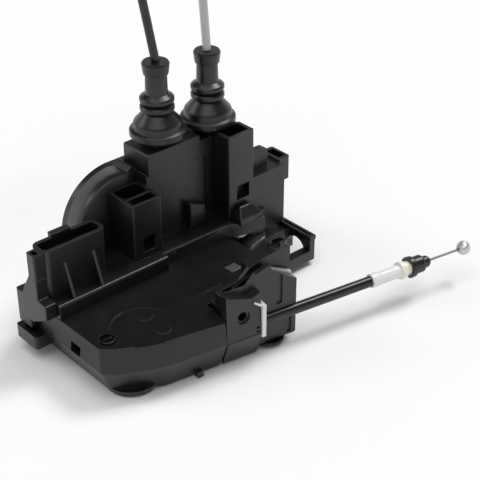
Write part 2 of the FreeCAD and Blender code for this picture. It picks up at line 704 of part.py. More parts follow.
def rear_profile(draw_in):
    """Front view of the rear cover, in full (0) or as small as at its back (1)."""
    left = s.rear_left + draw_in * s.rear_taper
    top = s.rear_top - draw_in * s.rear_taper
    edge = draw_in * s.cover_draft
    return [
        (left, edge, 6),
        (s.case_right - edge, edge, 3),
        (s.case_right - edge, s.panel_top - edge, 2),
        (s.main_right - edge, s.panel_top - edge, 0),
        (s.main_right - edge, top, 1.5),
        (left, top, s.gear_house_radius - draw_in * (s.rear_taper - 1)),
    ]


motor_height = s.gear_z - (s.tooth_count * s.gear_module / 2 + s.worm_pitch_radius)
hollow_end = (s.cover_back - s.wall - s.taper_start) / (s.cover_back - s.taper_start)
slant_wall = 1.4 * s.wall
rear_block = fuse("rear_block",
                  prism("rear_rim", "front", "split", "taper_start", rear_profile(0)),
                  lofted("rear_hood", "front", "taper_start", "cover_back", rear_profile(0),
                         rear_profile(1)))
rear_hollow = prism("rear_hollow", "front", "split + wall", "taper_start + 0.5",
                    inset(rear_profile(0), slant_wall))
hood_hollow = lofted("hood_hollow", "front", "taper_start", "cover_back - wall",
                     inset(rear_profile(0), slant_wall), inset(rear_profile(hollow_end), slant_wall))
rear_mouth = common("rear_mouth",
                    prism("rear_mouth_profile", "front", "split - 1", "split + wall + 1",
                          inset(rear_profile(0), slant_wall)),
                    prism("rear_mouth_room", "front", "split - 2", "split + wall + 1",
                          inset(case_profile(), s.wall)))
cradle_base = s.wall + 1


def cradle_side(top):
    return box_corners(s.split + 1, cradle_base, s.cover_back - 1, top)



cradles = [prism(f"motor_cradle_{index}", "side", f"motor_left + {offset}",
                 f"motor_left + {offset + 3}", cradle_side(motor_height - 1))
            for index, offset in enumerate((3, 18))]
shaft_post = prism("shaft_post", "side", "gear_x - 11.8", "gear_x - 9.6",
                   cradle_side(motor_height + 3.5))
motor_bed = rod("motor_bed", at(s.motor_left - 1, s.drive_y, motor_height), RIGHT,
                "motor_radius + running_gap", "motor_length + 2")
shaft_bed = rod("shaft_bed", at(s.gear_x - 14, s.drive_y, motor_height), RIGHT,
                "shaft_radius + running_gap", "8")
rear_screw_places = [(s.gear_x - 7, 7.4), (s.case_right - 9, 9), (s.case_right - 9, s.panel_top - 9),
                     (s.main_right - 9, s.panel_top - 6)]
screw_posts = [rod(f"screw_post_{index}", at(x, s.split + 1, z), BACK, "3.4",
                   "cover_back - split - 2")
               for index, (x, z) in enumerate(rear_screw_places)]
screw_bores = [rod(f"screw_bore_{index}", at(x, s.split + 5, z), BACK, "1.5",
                   "cover_back - split")
               for index, (x, z) in enumerate(rear_screw_places)]
rear_ribs = [prism(f"rear_rib_{index}", "side", f"gear_x + {offset}", f"gear_x + {offset + 1.6}",
                   [(s.cover_back - 0.5, 8), (s.cover_back + 1.2, 8), (s.cover_back + 1.2, 46),
                    (s.cover_back - 0.5, 46)]) for index, offset in enumerate((-1, 11, 23, 35))]
axle_boss = rod("axle_boss", at(s.gear_x, s.cover_back - s.wall - 3, s.gear_z), BACK, "5",
                "wall + 2.9")
axle_socket = rod("axle_socket", at(s.gear_x, s.cover_back - s.wall - 4, s.gear_z), BACK, "2.5", "3")
rear_solid = fuse("rear_solid", cut("rear_shell", rear_block, rear_hollow, hood_hollow, rear_mouth),
                  *cradles, shaft_post, *screw_posts, *rear_ribs, axle_boss)
node(cut("rear_cover_shape", rear_solid, motor_bed, shaft_bed, axle_socket, *screw_bores),
     "actuator_rear_cover")


# Connector receptacle with its keying pocket, lock and two gussets, and its terminals

shroud = prism("shroud", "top", "ledge_top", "connector_top",
               box_corners(s.connector_left - 1, s.tower_front + 1, s.connector_right - 0.5,
                           s.connector_back, 4))
shroud_mouth = prism("shroud_mouth", "top", "ledge_top + 6", "connector_top + 1",
                     box_corners(s.connector_left + 0.8, s.tower_front + 2.8,
                                 s.connector_right - 2.3, s.connector_back - 1.8, 2.2))
socket_back = prism("socket_back", "top", "ledge_top", "connector_top - 10",
                    box_corners(s.connector_left + 1.5, s.connector_back - 1, s.connector_right - 2,
                                s.connector_back + 6.5, 1.5))
key_box = prism("key_box", "top", "connector_top - 12", "connector_top",
                box_corners(s.connector_left - 5.5, s.tower_front + 1.6, s.connector_left + 0.5,
                            s.tower_front + 7.4, 0.8))
key_box_mouth = prism("key_box_mouth", "top", "connector_top - 10", "connector_top + 1",
                      box_corners(s.connector_left - 4.3, s.tower_front + 2.8,
                                  s.connector_left - 1.9, s.tower_front + 6.2, 0.3))
lock_bar = prism("lock_bar", "top", "connector_top - 10.5", "connector_top + 1.4",
                 box_corners(9.5, s.connector_back - 1.8, 19.5, s.connector_back + 1.6, 0.5))
gussets = [prism(f"gusset_{index}", "side", f"{x}", f"{x} + 1.3",
                 [(s.step_front + 0.8, s.ledge_top), (s.tower_front + 2, s.ledge_top),
                  (s.tower_front + 2, s.ledge_top + 15.4), (s.tower_front + 0.6, s.ledge_top + 15.4)])
           for index, x in enumerate((8.6, 23.6))]
node(cut("connector_shape", fuse("connector_solid", shroud, socket_back, key_box, lock_bar, *gussets),
         shroud_mouth, key_box_mouth), "connector_receptacle")

terminal_pitch = 4.0
terminals = [prism(f"terminal_{column}_{line}", "top", "ledge_top + 6", "ledge_top + 17",
                   box_corners(4.5 + column * terminal_pitch, s.tower_front + 4 + line * 3.4,
                               5.3 + column * terminal_pitch, s.tower_front + 5.4 + line * 3.4))
             for column in range(6) for line in range(2)]
node(fuse("terminals_shape", *terminals), "connector_terminals")


# Cable box over the upright case, with a seat for each boot

box_profile = [
    (s.box_left, s.wall_top, 0), (s.box_right, s.wall_top, 0), (s.box_right, s.box_low_top, 1),
    (s.box_step, s.box_low_top, 0), (s.box_step, s.box_top, 0), (s.box_left, s.box_top, 1),
]
box_block = prism("box_block", "front", "wall_front", "box_back", box_profile)
box_hollow = prism("box_hollow", "front", "wall_front + wall", "box_back - wall",
                   [(x, z - s.wall, 0) if z > s.wall_top else (x, z - 1, 0) for x, z in [
                       (s.box_left + s.wall, s.wall_top), (s.box_right - s.wall, s.wall_top),
                       (s.box_right - s.wall, s.box_low_top), (s.box_step - s.wall, s.box_low_top),
                       (s.box_step - s.wall, s.box_top), (s.box_left + s.wall, s.box_top)]])
inside_seat = rod("inside_seat", at(s.inside_cable_x, s.cable_y, s.box_top - 1), UP, "8",
                  "seat_height + 1")
lock_seat = rod("lock_seat", at(s.lock_cable_x, s.cable_y, s.box_low_top - 1), UP, "8",
                "seat_height + 1")
box_holes = [rod(f"box_hole_{index}", at(x, s.cable_y, s.wall_top - 2), UP, "2.5", "20")
             for index, x in enumerate((s.inside_cable_x, s.lock_cable_x))]
node(cut("cable_box_shape", fuse("cable_box_solid", box_block, inside_seat, lock_seat),
         box_hollow, *box_holes), "cable_box")


# Rubber bellows boots: hollow, with a flange, a dome, two rings, a neck and a cap

def boot(name, x, base):
    rim = s.boot_height
    profile = [
        (9.0, 0), (13.3, 0), (13.3, 2.6, 0.8), (11.6, 3.2), (11.4, 6.0, 3), (6.4, 11.6),
        (7.5, 11.9), (8.0, 12.5), (8.0, 14.0), (7.5, 14.6), (6.2, 15.2), (7.5, 16.0),
        (8.0, 16.6), (8.0, 18.0), (7.5, 18.6), (5.2, 20.0), (5.0, rim - 6.0), (5.8, rim - 5.6),
        (6.4, rim - 0.8), (5.9, rim), (0, rim), (0, rim - 4.2), (3.4, rim - 4.2), (3.4, 20.0),
        (5.6, 16.5), (5.2, 11.6), (9.4, 6.0), (9.0, 2.0),
    ]
    node(turned(name + "_body", profile, at(x, s.cable_y, base)), name)


inside_boot_base = s.box_top + s.seat_height
lock_boot_base = s.box_low_top + s.seat_height
boot("inside_cable_boot", s.inside_cable_x, inside_boot_base)
boot("lock_cable_boot", s.lock_cable_x, lock_boot_base)


# Inside release lever and lock lever: drawn level, then turned to their rest places

FRONT = FreeCAD.Vector(0, -1, 0)
inside_arm = s.inside_pivot_x - s.inside_cable_x
lock_arm = s.lock_cable_x - s.lock_pivot_x
inside_swing = 15.0
peg_swing = 25.0
slot_gap = 0.3
peg_drop = s.peg_reach * math.sin(math.radians(peg_swing))
peg_run = s.lock_pivot_x - s.gear_x - s.peg_reach * math.cos(math.radians(peg_swing))
lock_swing = math.degrees(math.atan2(peg_drop, peg_run))
inside_barrel_height = s.inside_pivot_z - inside_arm * math.tan(math.radians(inside_swing))
lock_barrel_height = s.gear_z + lock_arm * math.tan(math.radians(lock_swing))


def long_slot(centre_x, centre_z, reach, grow, half_width):
    """Slot for a barrel that moves outwards along the arm by a little."""
    low_x, high_x = sorted((centre_x, centre_x + grow))
    return box_corners(low_x - reach, centre_z - half_width, high_x + reach, centre_z + half_width,
                       half_width - 0.05)


slot_half = s.barrel_radius + slot_gap
inside_grow = inside_arm / math.cos(math.radians(inside_swing)) - inside_arm
inside_lever = prism("inside_lever_blank", "front", "inside_lever_front",
                     "inside_lever_front + lever_thickness", [
                         (s.inside_cable_x - 5, s.inside_pivot_z - 4.2, 3),
                         (s.inside_pivot_x - 7, s.inside_pivot_z - 5, 3),
                         (s.inside_pivot_x + 3, s.inside_pivot_z - 16, 2),
                         (s.inside_pivot_x + 9, s.inside_pivot_z - 16, 2),
                         (s.inside_pivot_x + 8, s.inside_pivot_z + 2, 6),
                         (s.inside_pivot_x + 1, s.inside_pivot_z + 6.6, 5),
                         (s.inside_cable_x - 5, s.inside_pivot_z + 4.2, 3),
                     ],
                     ring(s.inside_pivot_x, s.inside_pivot_z, s.lever_pin_radius + s.running_gap),
                     long_slot(s.inside_cable_x, s.inside_pivot_z, slot_half, -inside_grow, slot_half))
node(spin(inside_lever, at(s.inside_pivot_x, 0, s.inside_pivot_z), FRONT, inside_swing),
     "inside_release_lever")

lock_grow = lock_arm / math.cos(math.radians(lock_swing)) - lock_arm
fork_end = s.lock_pivot_x - (s.lock_pivot_x - s.gear_x - s.peg_reach) + s.peg_radius + 0.5
fork_half = s.peg_radius + 0.5
lock_lever = prism("lock_lever_blank", "front", "lock_lever_front",
                   "lock_lever_front + lever_thickness", [
                       (s.gear_x + 6, s.gear_z - fork_half - 2.5, 1.5),
                       (s.lock_pivot_x - 10, s.gear_z - 5.5, 4),
                       (s.lock_pivot_x, s.gear_z - 7.5, 6),
                       (s.lock_pivot_x + 10, s.gear_z - 5, 4),
                       (s.lock_cable_x + 5.5, s.gear_z - 4, 3),
                       (s.lock_cable_x + 5.5, s.gear_z + 4, 3),
                       (s.lock_pivot_x + 10, s.gear_z + 5, 4),
                       (s.lock_pivot_x, s.gear_z + 7.5, 6),
                       (s.lock_pivot_x - 10, s.gear_z + 5.5, 4),
                       (s.gear_x + 6, s.gear_z + fork_half + 2.5, 1.5),
                       (s.gear_x + 6, s.gear_z + fork_half, 0.6),
                       (fork_end, s.gear_z + fork_half, fork_half - 0.1),
                       (fork_end, s.gear_z - fork_half, fork_half - 0.1),
                       (s.gear_x + 6, s.gear_z - fork_half, 0.6),
                   ],
                   ring(s.lock_pivot_x, s.gear_z, s.lever_pin_radius + s.running_gap),
                   long_slot(s.lock_cable_x, s.gear_z, slot_half, lock_grow, slot_half))
node(spin(lock_lever, at(s.lock_pivot_x, 0, s.gear_z), FRONT, lock_swing), "lock_lever")

node(rod("inside_pin_body", at(s.inside_pivot_x, s.wall_front + s.wall, s.inside_pivot_z), BACK,
         "lever_pin_radius", "inside_lever_front + lever_thickness + 1 - wall_front - wall"),
     "inside_lever_pin")
node(rod("lock_pin_body", at(s.lock_pivot_x, s.wall_front + s.wall, s.gear_z), BACK,
         "lever_pin_radius", "lock_lever_front + lever_thickness + 1 - wall_front - wall"),
     "lock_lever_pin")


# Inner wires of the two booted cables, each with a barrel end in its lever's slot

def inner_wire(name, x, barrel_height, barrel_front, barrel_back, top):
    barrel = rod(name + "_barrel", at(x, barrel_front, barrel_height), BACK, "barrel_radius",
                 barrel_back - barrel_front)
    wire = rod(name + "_strand", at(x, s.cable_y, barrel_height), UP, "inner_wire_radius",
               top - barrel_height)
    node(fuse(name + "_shape", barrel, wire), name)


inner_wire("inside_cable_wire", s.inside_cable_x, inside_barrel_height,
           s.inside_lever_front - 0.5, s.cable_y + 1.0, inside_boot_base + 18)
inner_wire("lock_cable_wire", s.lock_cable_x, lock_barrel_height,
           s.cable_y - 0.5, s.lock_lever_front + s.lever_thickness + 0.5, lock_boot_base + 28)


# Worm wheel with a peg for the lock lever; one tooth points straight down into the worm

pitch_radius = s.tooth_count * s.gear_module / 2
root_radius = pitch_radius - 1.4
tip_radius = pitch_radius + 1.1
wheel_front = s.drive_y - s.gear_width / 2
wheel = doc.addObject("PartDesign::Body", "wheel_rim")
disc_sketch = sketch_on(wheel, "wheel_disc_outline", "front", "drive_y - gear_width / 2",
                        [ring(0, 0, root_radius), ring(0, 0, 2.55)])
disc = wheel.newObject("PartDesign::Pad", "wheel_disc")
disc.Profile = disc_sketch
disc.Reversed = True
bind(disc, "Length", "gear_width")
tooth_sketch = sketch_on(wheel, "tooth_outline", "front", "drive_y - gear_width / 2", [[
    (-1.0, 0.4 - root_radius), (1.0, 0.4 - root_radius), (0.45, -tip_radius), (-0.45, -tip_radius)]])
tooth = wheel.newObject("PartDesign::Pad", "wheel_tooth")
tooth.Profile = tooth_sketch
tooth.Reversed = True
bind(tooth, "Length", "gear_width")
tooth_ring = wheel.newObject("PartDesign::PolarPattern", "tooth_ring")
tooth_ring.Originals = [tooth]
tooth_ring.Axis = (tooth_sketch, ["N_Axis"])
tooth_ring.Angle = 360
bind(tooth_ring, "Occurrences", "tooth_count")
wheel.Tip = tooth_ring
wheel.Placement.Base = at(s.gear_x, 0, s.gear_z)
wheel_hub = cut("wheel_hub", rod("wheel_hub_bar", at(s.gear_x, wheel_front - 5, s.gear_z), BACK,
                                 "5", "gear_width + 8"),
                rod("wheel_hub_bore", at(s.gear_x, wheel_front - 6, s.gear_z), BACK, "2.55", "20"))
peg_x = s.gear_x + s.peg_reach * math.cos(math.radians(peg_swing))
peg = rod("wheel_peg", at(peg_x, s.lock_lever_front - 0.5, s.gear_z - peg_drop), BACK, "peg_radius",
          "drive_y - lock_lever_front")
peg_web = prism("peg_web", "front", "drive_y - gear_width / 2 - 4", "drive_y",
                box_corners(s.gear_x + 6, s.gear_z - peg_drop - 3.2, peg_x + 3.4,
                            s.gear_z - peg_drop + 3.2, 2))
node(fuse("worm_wheel_shape", wheel, wheel_hub, peg, peg_web), "worm_wheel")
node(rod("wheel_axle_body", at(s.gear_x, s.wall_front + 10, s.gear_z), BACK, "2.5",
         "cover_back - wall - 1 - wall_front - 10"), "wheel_axle")


# Worm: a tapered thread swept along a right-hand helix round its core, on the motor's shaft

def worm_thread():
    pitch = math.pi * s.gear_module
    helix = Part.makeHelix(pitch, 4 * pitch, s.worm_pitch_radius)
    corners = [at(1.8, 0, -0.9), at(s.worm_pitch_radius + 0.9, 0, -0.35),
               at(s.worm_pitch_radius + 0.9, 0, 0.35), at(1.8, 0, 0.9)]
    profile = Part.makePolygon(corners + [corners[0]])
    return Part.Wire(helix.Edges).makePipeShell([profile], True, True)


thread = doc.addObject("Part::Feature", "worm_thread")
thread.Shape = worm_thread()
thread.Placement = FreeCAD.Placement(
    at(s.gear_x - 2 * math.pi * s.gear_module, s.drive_y, motor_height),
    FreeCAD.Rotation(UP, RIGHT))
worm_core = rod("worm_core", at(s.gear_x - 7.9, s.drive_y, motor_height), RIGHT, "2.1", "15.8")
worm_bore = rod("worm_bore", at(s.gear_x - 12, s.drive_y, motor_height), RIGHT, "shaft_radius", "30")
node(cut("worm_shape", fuse("worm_solid", worm_core, thread), worm_bore), "worm")
node(rod("motor_shaft_body", at(s.gear_x - 12, s.drive_y, motor_height), RIGHT, "shaft_radius",
         "motor_left - gear_x + 19"), "motor_shaft")
motor_can = fuse("motor_can", rod("motor_can_bar", at(s.motor_left, s.drive_y, motor_height), RIGHT,
                                  "motor_radius", "motor_length"),
                 rod("motor_nose", at(s.motor_left - 1.6, s.drive_y, motor_height), RIGHT, "3.2", "3"),
                 rod("motor_tail", at(s.motor_left + s.motor_length - 1, s.drive_y, motor_height),
                     RIGHT, "2.8", "2.6"))
motor_bore = rod("motor_bore", at(s.motor_left - 3, s.drive_y, motor_height), RIGHT,
                 "shaft_radius + running_gap", "12")
node(cut("lock_motor_shape", motor_can, motor_bore), "lock_motor")


# Screws: one in the cover's pocket, four through the rear cover

def screw(name, place, direction, head_radius, head_height, shank_radius, shank_length):
    """A pan head screw with a cross recess; its place is under the head."""
    head = turned(name + "_head", [(0, -shank_length), (shank_radius, -shank_length),
                                   (shank_radius, 0), (head_radius, 0),
                                   (head_radius, head_height, 0.8), (0, head_height)],
                  place, direction)
    return head


node(cut("cover_screw_shape", screw("cover_screw_blank", at(screw_x, screw_y, s.cover_top - 1.6),
                                    UP, 3.2, 1.9, 1.55, 10.0),
         prism("cover_screw_cross", "top", "cover_top - 0.7", "cover_top + 1",
               box_corners(screw_x - 1.8, screw_y - 0.35, screw_x + 1.8, screw_y + 0.35))),
     "cover_screw")
node(fuse("rear_screws_shape", *[
    screw(f"rear_screw_{index}", at(x, s.cover_back, z), BACK, 3.2, 1.9, 1.45, 13.5)
    for index, (x, z) in enumerate(rear_screw_places)]), "rear_cover_screws")


# Block on the right for the outside handle's cable: built along its own front face, then turned

block_place = FreeCAD.Placement(at(s.block_x, s.block_y, 0), FreeCAD.Rotation(UP, s.block_angle))


def in_block(thing):
    thing.Placement = block_place.multiply(thing.Placement)
    return thing


anchor_right = s.anchor_left + s.anchor_width
rivet_u, rivet_w = 24.4, 5.6
outside_pivot_z = s.cable_height + s.outside_arm * math.cos(math.radians(s.outside_angle))
block_body = prism("block_body", "front", "0", "block_depth", [
    (s.block_left, s.front_wall_bottom, 0.5), (s.anchor_left - 0.1, s.front_wall_bottom, 0.5),
    (s.anchor_left + 0.5, s.block_bottom, 0.5), (s.block_right, s.block_bottom, 1),
    (s.block_right, s.block_top, 1), (s.block_right - 7, s.block_top - 1, 2),
    (s.block_right - 15, s.block_top - 3, 2), (s.anchor_left, s.block_top - 5.5, 2),
    (10, s.front_wall_top - 1.5, 2), (4, s.front_wall_top - 2.5, 2),
    (s.block_left, s.front_wall_top - 4, 1)])
low_back = prism("low_back", "front", "block_web", "block_depth + 1", [
    (s.block_left - 1, s.cover_top + 2), (13, s.cover_top + 2, 1), (16, s.block_top + 1),
    (s.block_left - 1, s.block_top + 1)])
front_wall = prism("front_wall", "side", "front_wall_left", "anchor_left - 0.1", [
    (0.2, s.front_wall_bottom), (-0.6, s.front_wall_bottom), (-5.0, s.parting - 1),
    (-4.2, s.cover_top), (-3.8, s.front_wall_top), (0.2, s.front_wall_top)])
wall_top_cut = prism("wall_top_cut", "front", "-6", "-0.05", [
    (s.front_wall_left - 1, s.front_wall_top - 0.6), (9.5, s.front_wall_top - 5, 3),
    (s.anchor_left + 1, s.front_wall_top - 3), (s.anchor_left + 1, s.front_wall_top + 1),
    (s.front_wall_left - 1, s.front_wall_top + 1)])
curl = prism("curl", "top", "block_top - 7", "block_top + 2",
             box_corners(s.block_right - 9, 6.2, s.block_right - 0.4, s.block_depth - 0.2, 2.9),
             box_corners(s.block_right - 7.5, 7.6, s.block_right - 1.8, s.block_depth - 1.6, 1.5))
curl_gap = prism("curl_gap", "top", "block_top", "block_top + 3",
                 box_corners(s.block_right - 11, 5, s.block_right - 5, 9))
block_solid = fuse("block_solid", block_body, front_wall, curl)
front_drop = prism("front_drop", "front", "-1", "lever_slot_front + 0.1", [
    (s.block_right - 13.5, s.block_top - 6.5), (s.block_right + 1, outside_pivot_z),
    (s.block_right + 1, s.block_top + 2), (s.block_right - 14.5, s.block_top + 2)])
lever_slot = prism("lever_slot", "front", "lever_slot_front", "lever_slot_back", [
    (s.block_left + s.wall, s.cable_height - 5.2), (s.block_right - 9, s.cable_height - 5.2),
    (s.block_right - 5, outside_pivot_z - 1), (s.block_right + 1, outside_pivot_z - 1),
    (s.block_right + 1, s.block_top + 3), (s.block_left + 3.5, s.block_top + 3),
    (s.block_left + s.wall, outside_pivot_z + 2)])
back_hollow = prism("back_hollow", "front", "block_web", "block_depth + 1",
                    box_corners(s.block_left + 3.6, s.cable_height, s.block_right - s.wall,
                                outside_pivot_z + 1, 1))
wire_groove = prism("wire_groove", "front", "-1.2", "3",
                    box_corners(s.block_left + 3.6, s.cable_height - 2.3, s.anchor_left,
                                s.cable_height + 2.3, 0.3))
anchor_groove = prism("anchor_groove", "front", "-1", "2.4",
                      box_corners(s.anchor_left - 0.1, s.anchor_bottom - 0.1, anchor_right + 0.1,
                                  s.anchor_top + 0.1))
sheath_groove = rod("sheath_groove", at(anchor_right - 1, 0, s.cable_height), RIGHT,
                    "sheath_radius + 0.3", "40")
parting_groove = prism("parting_groove", "front", "-6", "-4.4",
                       box_corners(s.block_left - 2, s.parting - 0.3, s.anchor_left, s.parting))
front_groove = prism("front_groove", "front", "-1", "0.9",
                     box_corners(s.block_right - 10.6, s.cable_height + 5.8, s.block_right - 7.4,
                                 s.block_top - 6, 0.3))
low_groove = prism("low_groove", "front", "-1", "0.8",
                   box_corners(s.block_right - 4.6, s.block_bottom + 1.2, s.block_right - 2.4,
                               s.cable_height - s.sheath_radius - 0.7, 0.3))
round_hole = turned("round_hole", [(0, -6), (3.4, -6), (3.4, -3.4), (2.2, -3.4), (2.2, 1.0), (0, 1.0)],
                    at(s.anchor_left - 9.2, 0, s.cable_height + 8.6), BACK)
slot_holes = [prism(f"slot_hole_{index}", "front", "-6", "-3",
                    box_corners(s.anchor_left - 2.8, z, s.anchor_left - 0.8, z + 0.9))
              for index, z in enumerate((s.parting + 0.6, s.parting + 2.6))]
pin_hole = rod("pin_hole", at(s.outside_pivot_u, 0.8, outside_pivot_z), BACK, "2.52", "7.2")
rivet_hole = rod("block_rivet_hole", at(rivet_u, rivet_w, 0), UP, "2.52", "11")
node(in_block(cut("lever_block_shape", block_solid, lever_slot, back_hollow, wire_groove,
                  anchor_groove, sheath_groove, parting_groove, front_groove, low_groove, front_drop,
                  low_back, wall_top_cut, curl_gap, round_hole, pin_hole, rivet_hole, *slot_holes)),
     "outside_lever_block")

anchor_blank = prism("anchor_blank", "front", "-5.4", "2.3",
                     box_corners(s.anchor_left, s.anchor_bottom, anchor_right, s.anchor_top, 0.4))
anchor_lip = prism("anchor_lip", "front", "-4.9", "-4.3", [
    (s.anchor_left + 0.5, s.anchor_top - 1.4), (s.anchor_left + 0.5, s.anchor_top),
    (s.anchor_left - 3.8, s.anchor_top + 2.8), (s.anchor_left - 4.0, s.anchor_top + 2.0)])
node(in_block(cut("anchor_plate_shape", fuse("anchor_solid", anchor_blank, anchor_lip),
                  rod("anchor_hole", at(s.anchor_left - 1, 0, s.cable_height), RIGHT, "0.9", "6"))),
     "cable_anchor_plate")

lever_low = outside_pivot_z - s.outside_arm
outside_lever = prism("outside_lever_blank", "front", "3.2", "5.2", [
    (s.outside_pivot_u - 3.4, lever_low - 3.2, 2.5), (s.outside_pivot_u + 3.4, lever_low - 3.2, 2.5),
    (s.outside_pivot_u + 5.5, outside_pivot_z - 5, 3),
    (s.outside_pivot_u + 8, outside_pivot_z + 5, 4),
    (s.outside_pivot_u + 12.2, outside_pivot_z + 10.2, 2),
    (s.outside_pivot_u + 25.8, outside_pivot_z + 7.4, 0.6),
    (s.outside_pivot_u + 25.2, outside_pivot_z + 9.4, 0.5),
    (s.outside_pivot_u + 10.5, outside_pivot_z + 12.2, 1),
    (s.outside_pivot_u + 1, outside_pivot_z + 7.5, 3),
    (s.outside_pivot_u - 4.4, outside_pivot_z + 2, 4),
], ring(s.outside_pivot_u, outside_pivot_z, 2.55),
    box_corners(s.outside_pivot_u - 1.9, lever_low - 1.9, s.outside_pivot_u + 1.9, lever_low + 2.45,
                1.85))
node(in_block(spin(outside_lever, at(s.outside_pivot_u, 0, outside_pivot_z), FRONT,
                   -s.outside_angle)), "outside_release_lever")
node(in_block(rod("outside_pin_body", at(s.outside_pivot_u, 0.8, outside_pivot_z), BACK,
                  "2.5", "6.8")), "outside_lever_pin")

node(in_block(fuse("block_rivet_shape",
                   turned("block_rivet_head", [(0, 0.3), (6.0, 0.3, 0.8), (7.9, 1.6),
                                               (7.9, 2.9), (5.2, 3.3), (0, 3.3)],
                          at(rivet_u, rivet_w, 0)),
                   rod("block_rivet_shank", at(rivet_u, rivet_w, 3), UP, "2.5", "7"))), "block_rivet")


# Outside handle's cable: sheath, ferrule, cap, and the pull wire with its ball

cable_start = anchor_right
barrel_u = s.outside_pivot_u - s.outside_arm * math.sin(math.radians(s.outside_angle))
barrel_z = outside_pivot_z - s.outside_arm * math.cos(math.radians(s.outside_angle))
ferrule_start = cable_start + s.sheath_length
cap_start = ferrule_start + s.ferrule_length
cap_end = cap_start + s.cap_length


def along_cable(name, profile, start):
    return turned(name, profile, at(start, 0, s.cable_height), RIGHT)


node(in_block(along_cable("sheath_body", [
    (0.9, 0), (s.sheath_radius, 0), (s.sheath_radius, s.sheath_length), (0.9, s.sheath_length)],
    cable_start)), "outside_cable_sheath")
node(in_block(along_cable("ferrule_body", [
    (0.9, 0), (s.sheath_radius + 0.9, 0, 0.4), (s.sheath_radius + 0.9, 4.0), (3.2, 5.2),
    (3.2, s.ferrule_length - 6.0), (4.3, s.ferrule_length - 5.5), (4.3, s.ferrule_length - 3.0),
    (3.4, s.ferrule_length - 2.6), (3.4, s.ferrule_length), (0.9, s.ferrule_length)],
    ferrule_start)), "outside_cable_ferrule")
node(in_block(along_cable("cap_body", [
    (0.9, 0), (5.2, 0), (5.2, 2.2, 0.7), (4.3, 2.8), (4.3, s.cap_length - 4.5, 1.2),
    (2.9, s.cap_length - 3.4), (2.9, s.cap_length - 1.2), (2.2, s.cap_length), (0.9, s.cap_length)],
    cap_start)), "outside_cable_cap")
pull_wire = rod("pull_wire_strand", at(barrel_u, 0, s.cable_height), RIGHT, "pull_wire_radius",
                cap_end + s.ball_reach - barrel_u)
pull_barrel = rod("pull_wire_barrel", at(barrel_u, -0.8, s.cable_height), BACK, "1.6", "6.4")
pull_ball = ball("pull_wire_ball", at(cap_end + s.ball_reach, 0, s.cable_height), "ball_radius")
node(in_block(fuse("pull_wire_shape", pull_wire, pull_barrel, pull_ball)), "outside_pull_wire")


# Torsion springs of claw and pawl, coiled round the rivets above the claw's level

def coil_spring(name, place, turns, wire_radius):
    """A close-wound coil, as six-sided rings that lie on each other, outside the rivet's shoulder."""
    middle = s.rivet_radius + 1.3 + wire_radius
    section = [(middle + wire_radius * math.cos(math.radians(corner)),
                wire_radius * math.sin(math.radians(corner))) for corner in range(0, 360, 60)]
    rings = [turned(f"{name}_turn_{turn}", section, place + UP * (1.6 * wire_radius * turn))
             for turn in range(turns)]
    node(fuse(name + "_coil", *rings), name)


spring_base = s.pocket_top + 0.7
coil_spring("claw_spring", at(s.claw_x, s.claw_y, spring_base), 3, 0.5)
coil_spring("pawl_spring", at(s.pawl_x, s.pawl_y, spring_base), 3, 0.5)


# Free control cables: straight runs joined by tangent arcs, up from the boots and over to the back

def cord_tube(name, route, radius):
    """Tube along a route; each arc is as large as its two runs allow."""
    points = [FreeCAD.Vector(*point) for point in route]
    edges = []
    start = points[0]
    path_length = 0.0
    radii = []
    for before, here, after in zip(points, points[1:], points[2:]):
        towards_start = (before - here).normalize()
        towards_end = (after - here).normalize()
        half_turn = (math.pi - towards_start.getAngle(towards_end)) / 2
        trim = 0.45 * min(before.distanceToPoint(here), after.distanceToPoint(here))
        arc_radius = trim / math.tan(half_turn)
        first = here + towards_start * trim
        last = here + towards_end * trim
        inward = (towards_start + towards_end).normalize()
        middle = here + inward * (arc_radius / math.cos(half_turn) - arc_radius)
        edges.append(Part.LineSegment(start, first).toShape())
        edges.append(Part.Arc(first, middle, last).toShape())
        path_length += start.distanceToPoint(first) + arc_radius * 2 * half_turn
        radii.append(round(arc_radius, 1))
        start = last
    edges.append(Part.LineSegment(start, points[-1]).toShape())
    path_length += start.distanceToPoint(points[-1])
    section = Part.Wire(Part.makeCircle(radius, points[0], points[1] - points[0]))
    tube = doc.addObject("Part::Feature", name + "_tube")
    tube.Shape = Part.Wire(edges).makePipeShell([section], True, True)
    wanted = math.pi * radius ** 2 * path_length
    print(name, "length", round(path_length, 1), "radii", radii,
          "volume ratio", round(tube.Shape.Volume / wanted, 4))
    return node(tube, name, is_cord=True)


def cable_end(name, route):
    """Ferrule on the sheath's far end and the short wire with its nipple."""
    end = FreeCAD.Vector(*route[-1])
    onward = (end - FreeCAD.Vector(*route[-2])).normalize()
    node(turned(name + "_ferrule_body", [
        (0, 0), (3.0, 0), (3.0, 14), (4.2, 14.4), (4.2, 16.4),
        (2.6, 17), (2.6, 20), (0, 20)], end, onward), name + "_end_ferrule", is_cord=True)
    tip = turned(name + "_tip_body", [
        (0, 0), (s.inner_wire_radius, 0), (s.inner_wire_radius, 10), (2.4, 10), (2.4, 15),
        (0, 15)], end + onward * 20, onward)
    node(tip, name + "_end_wire", is_cord=True)


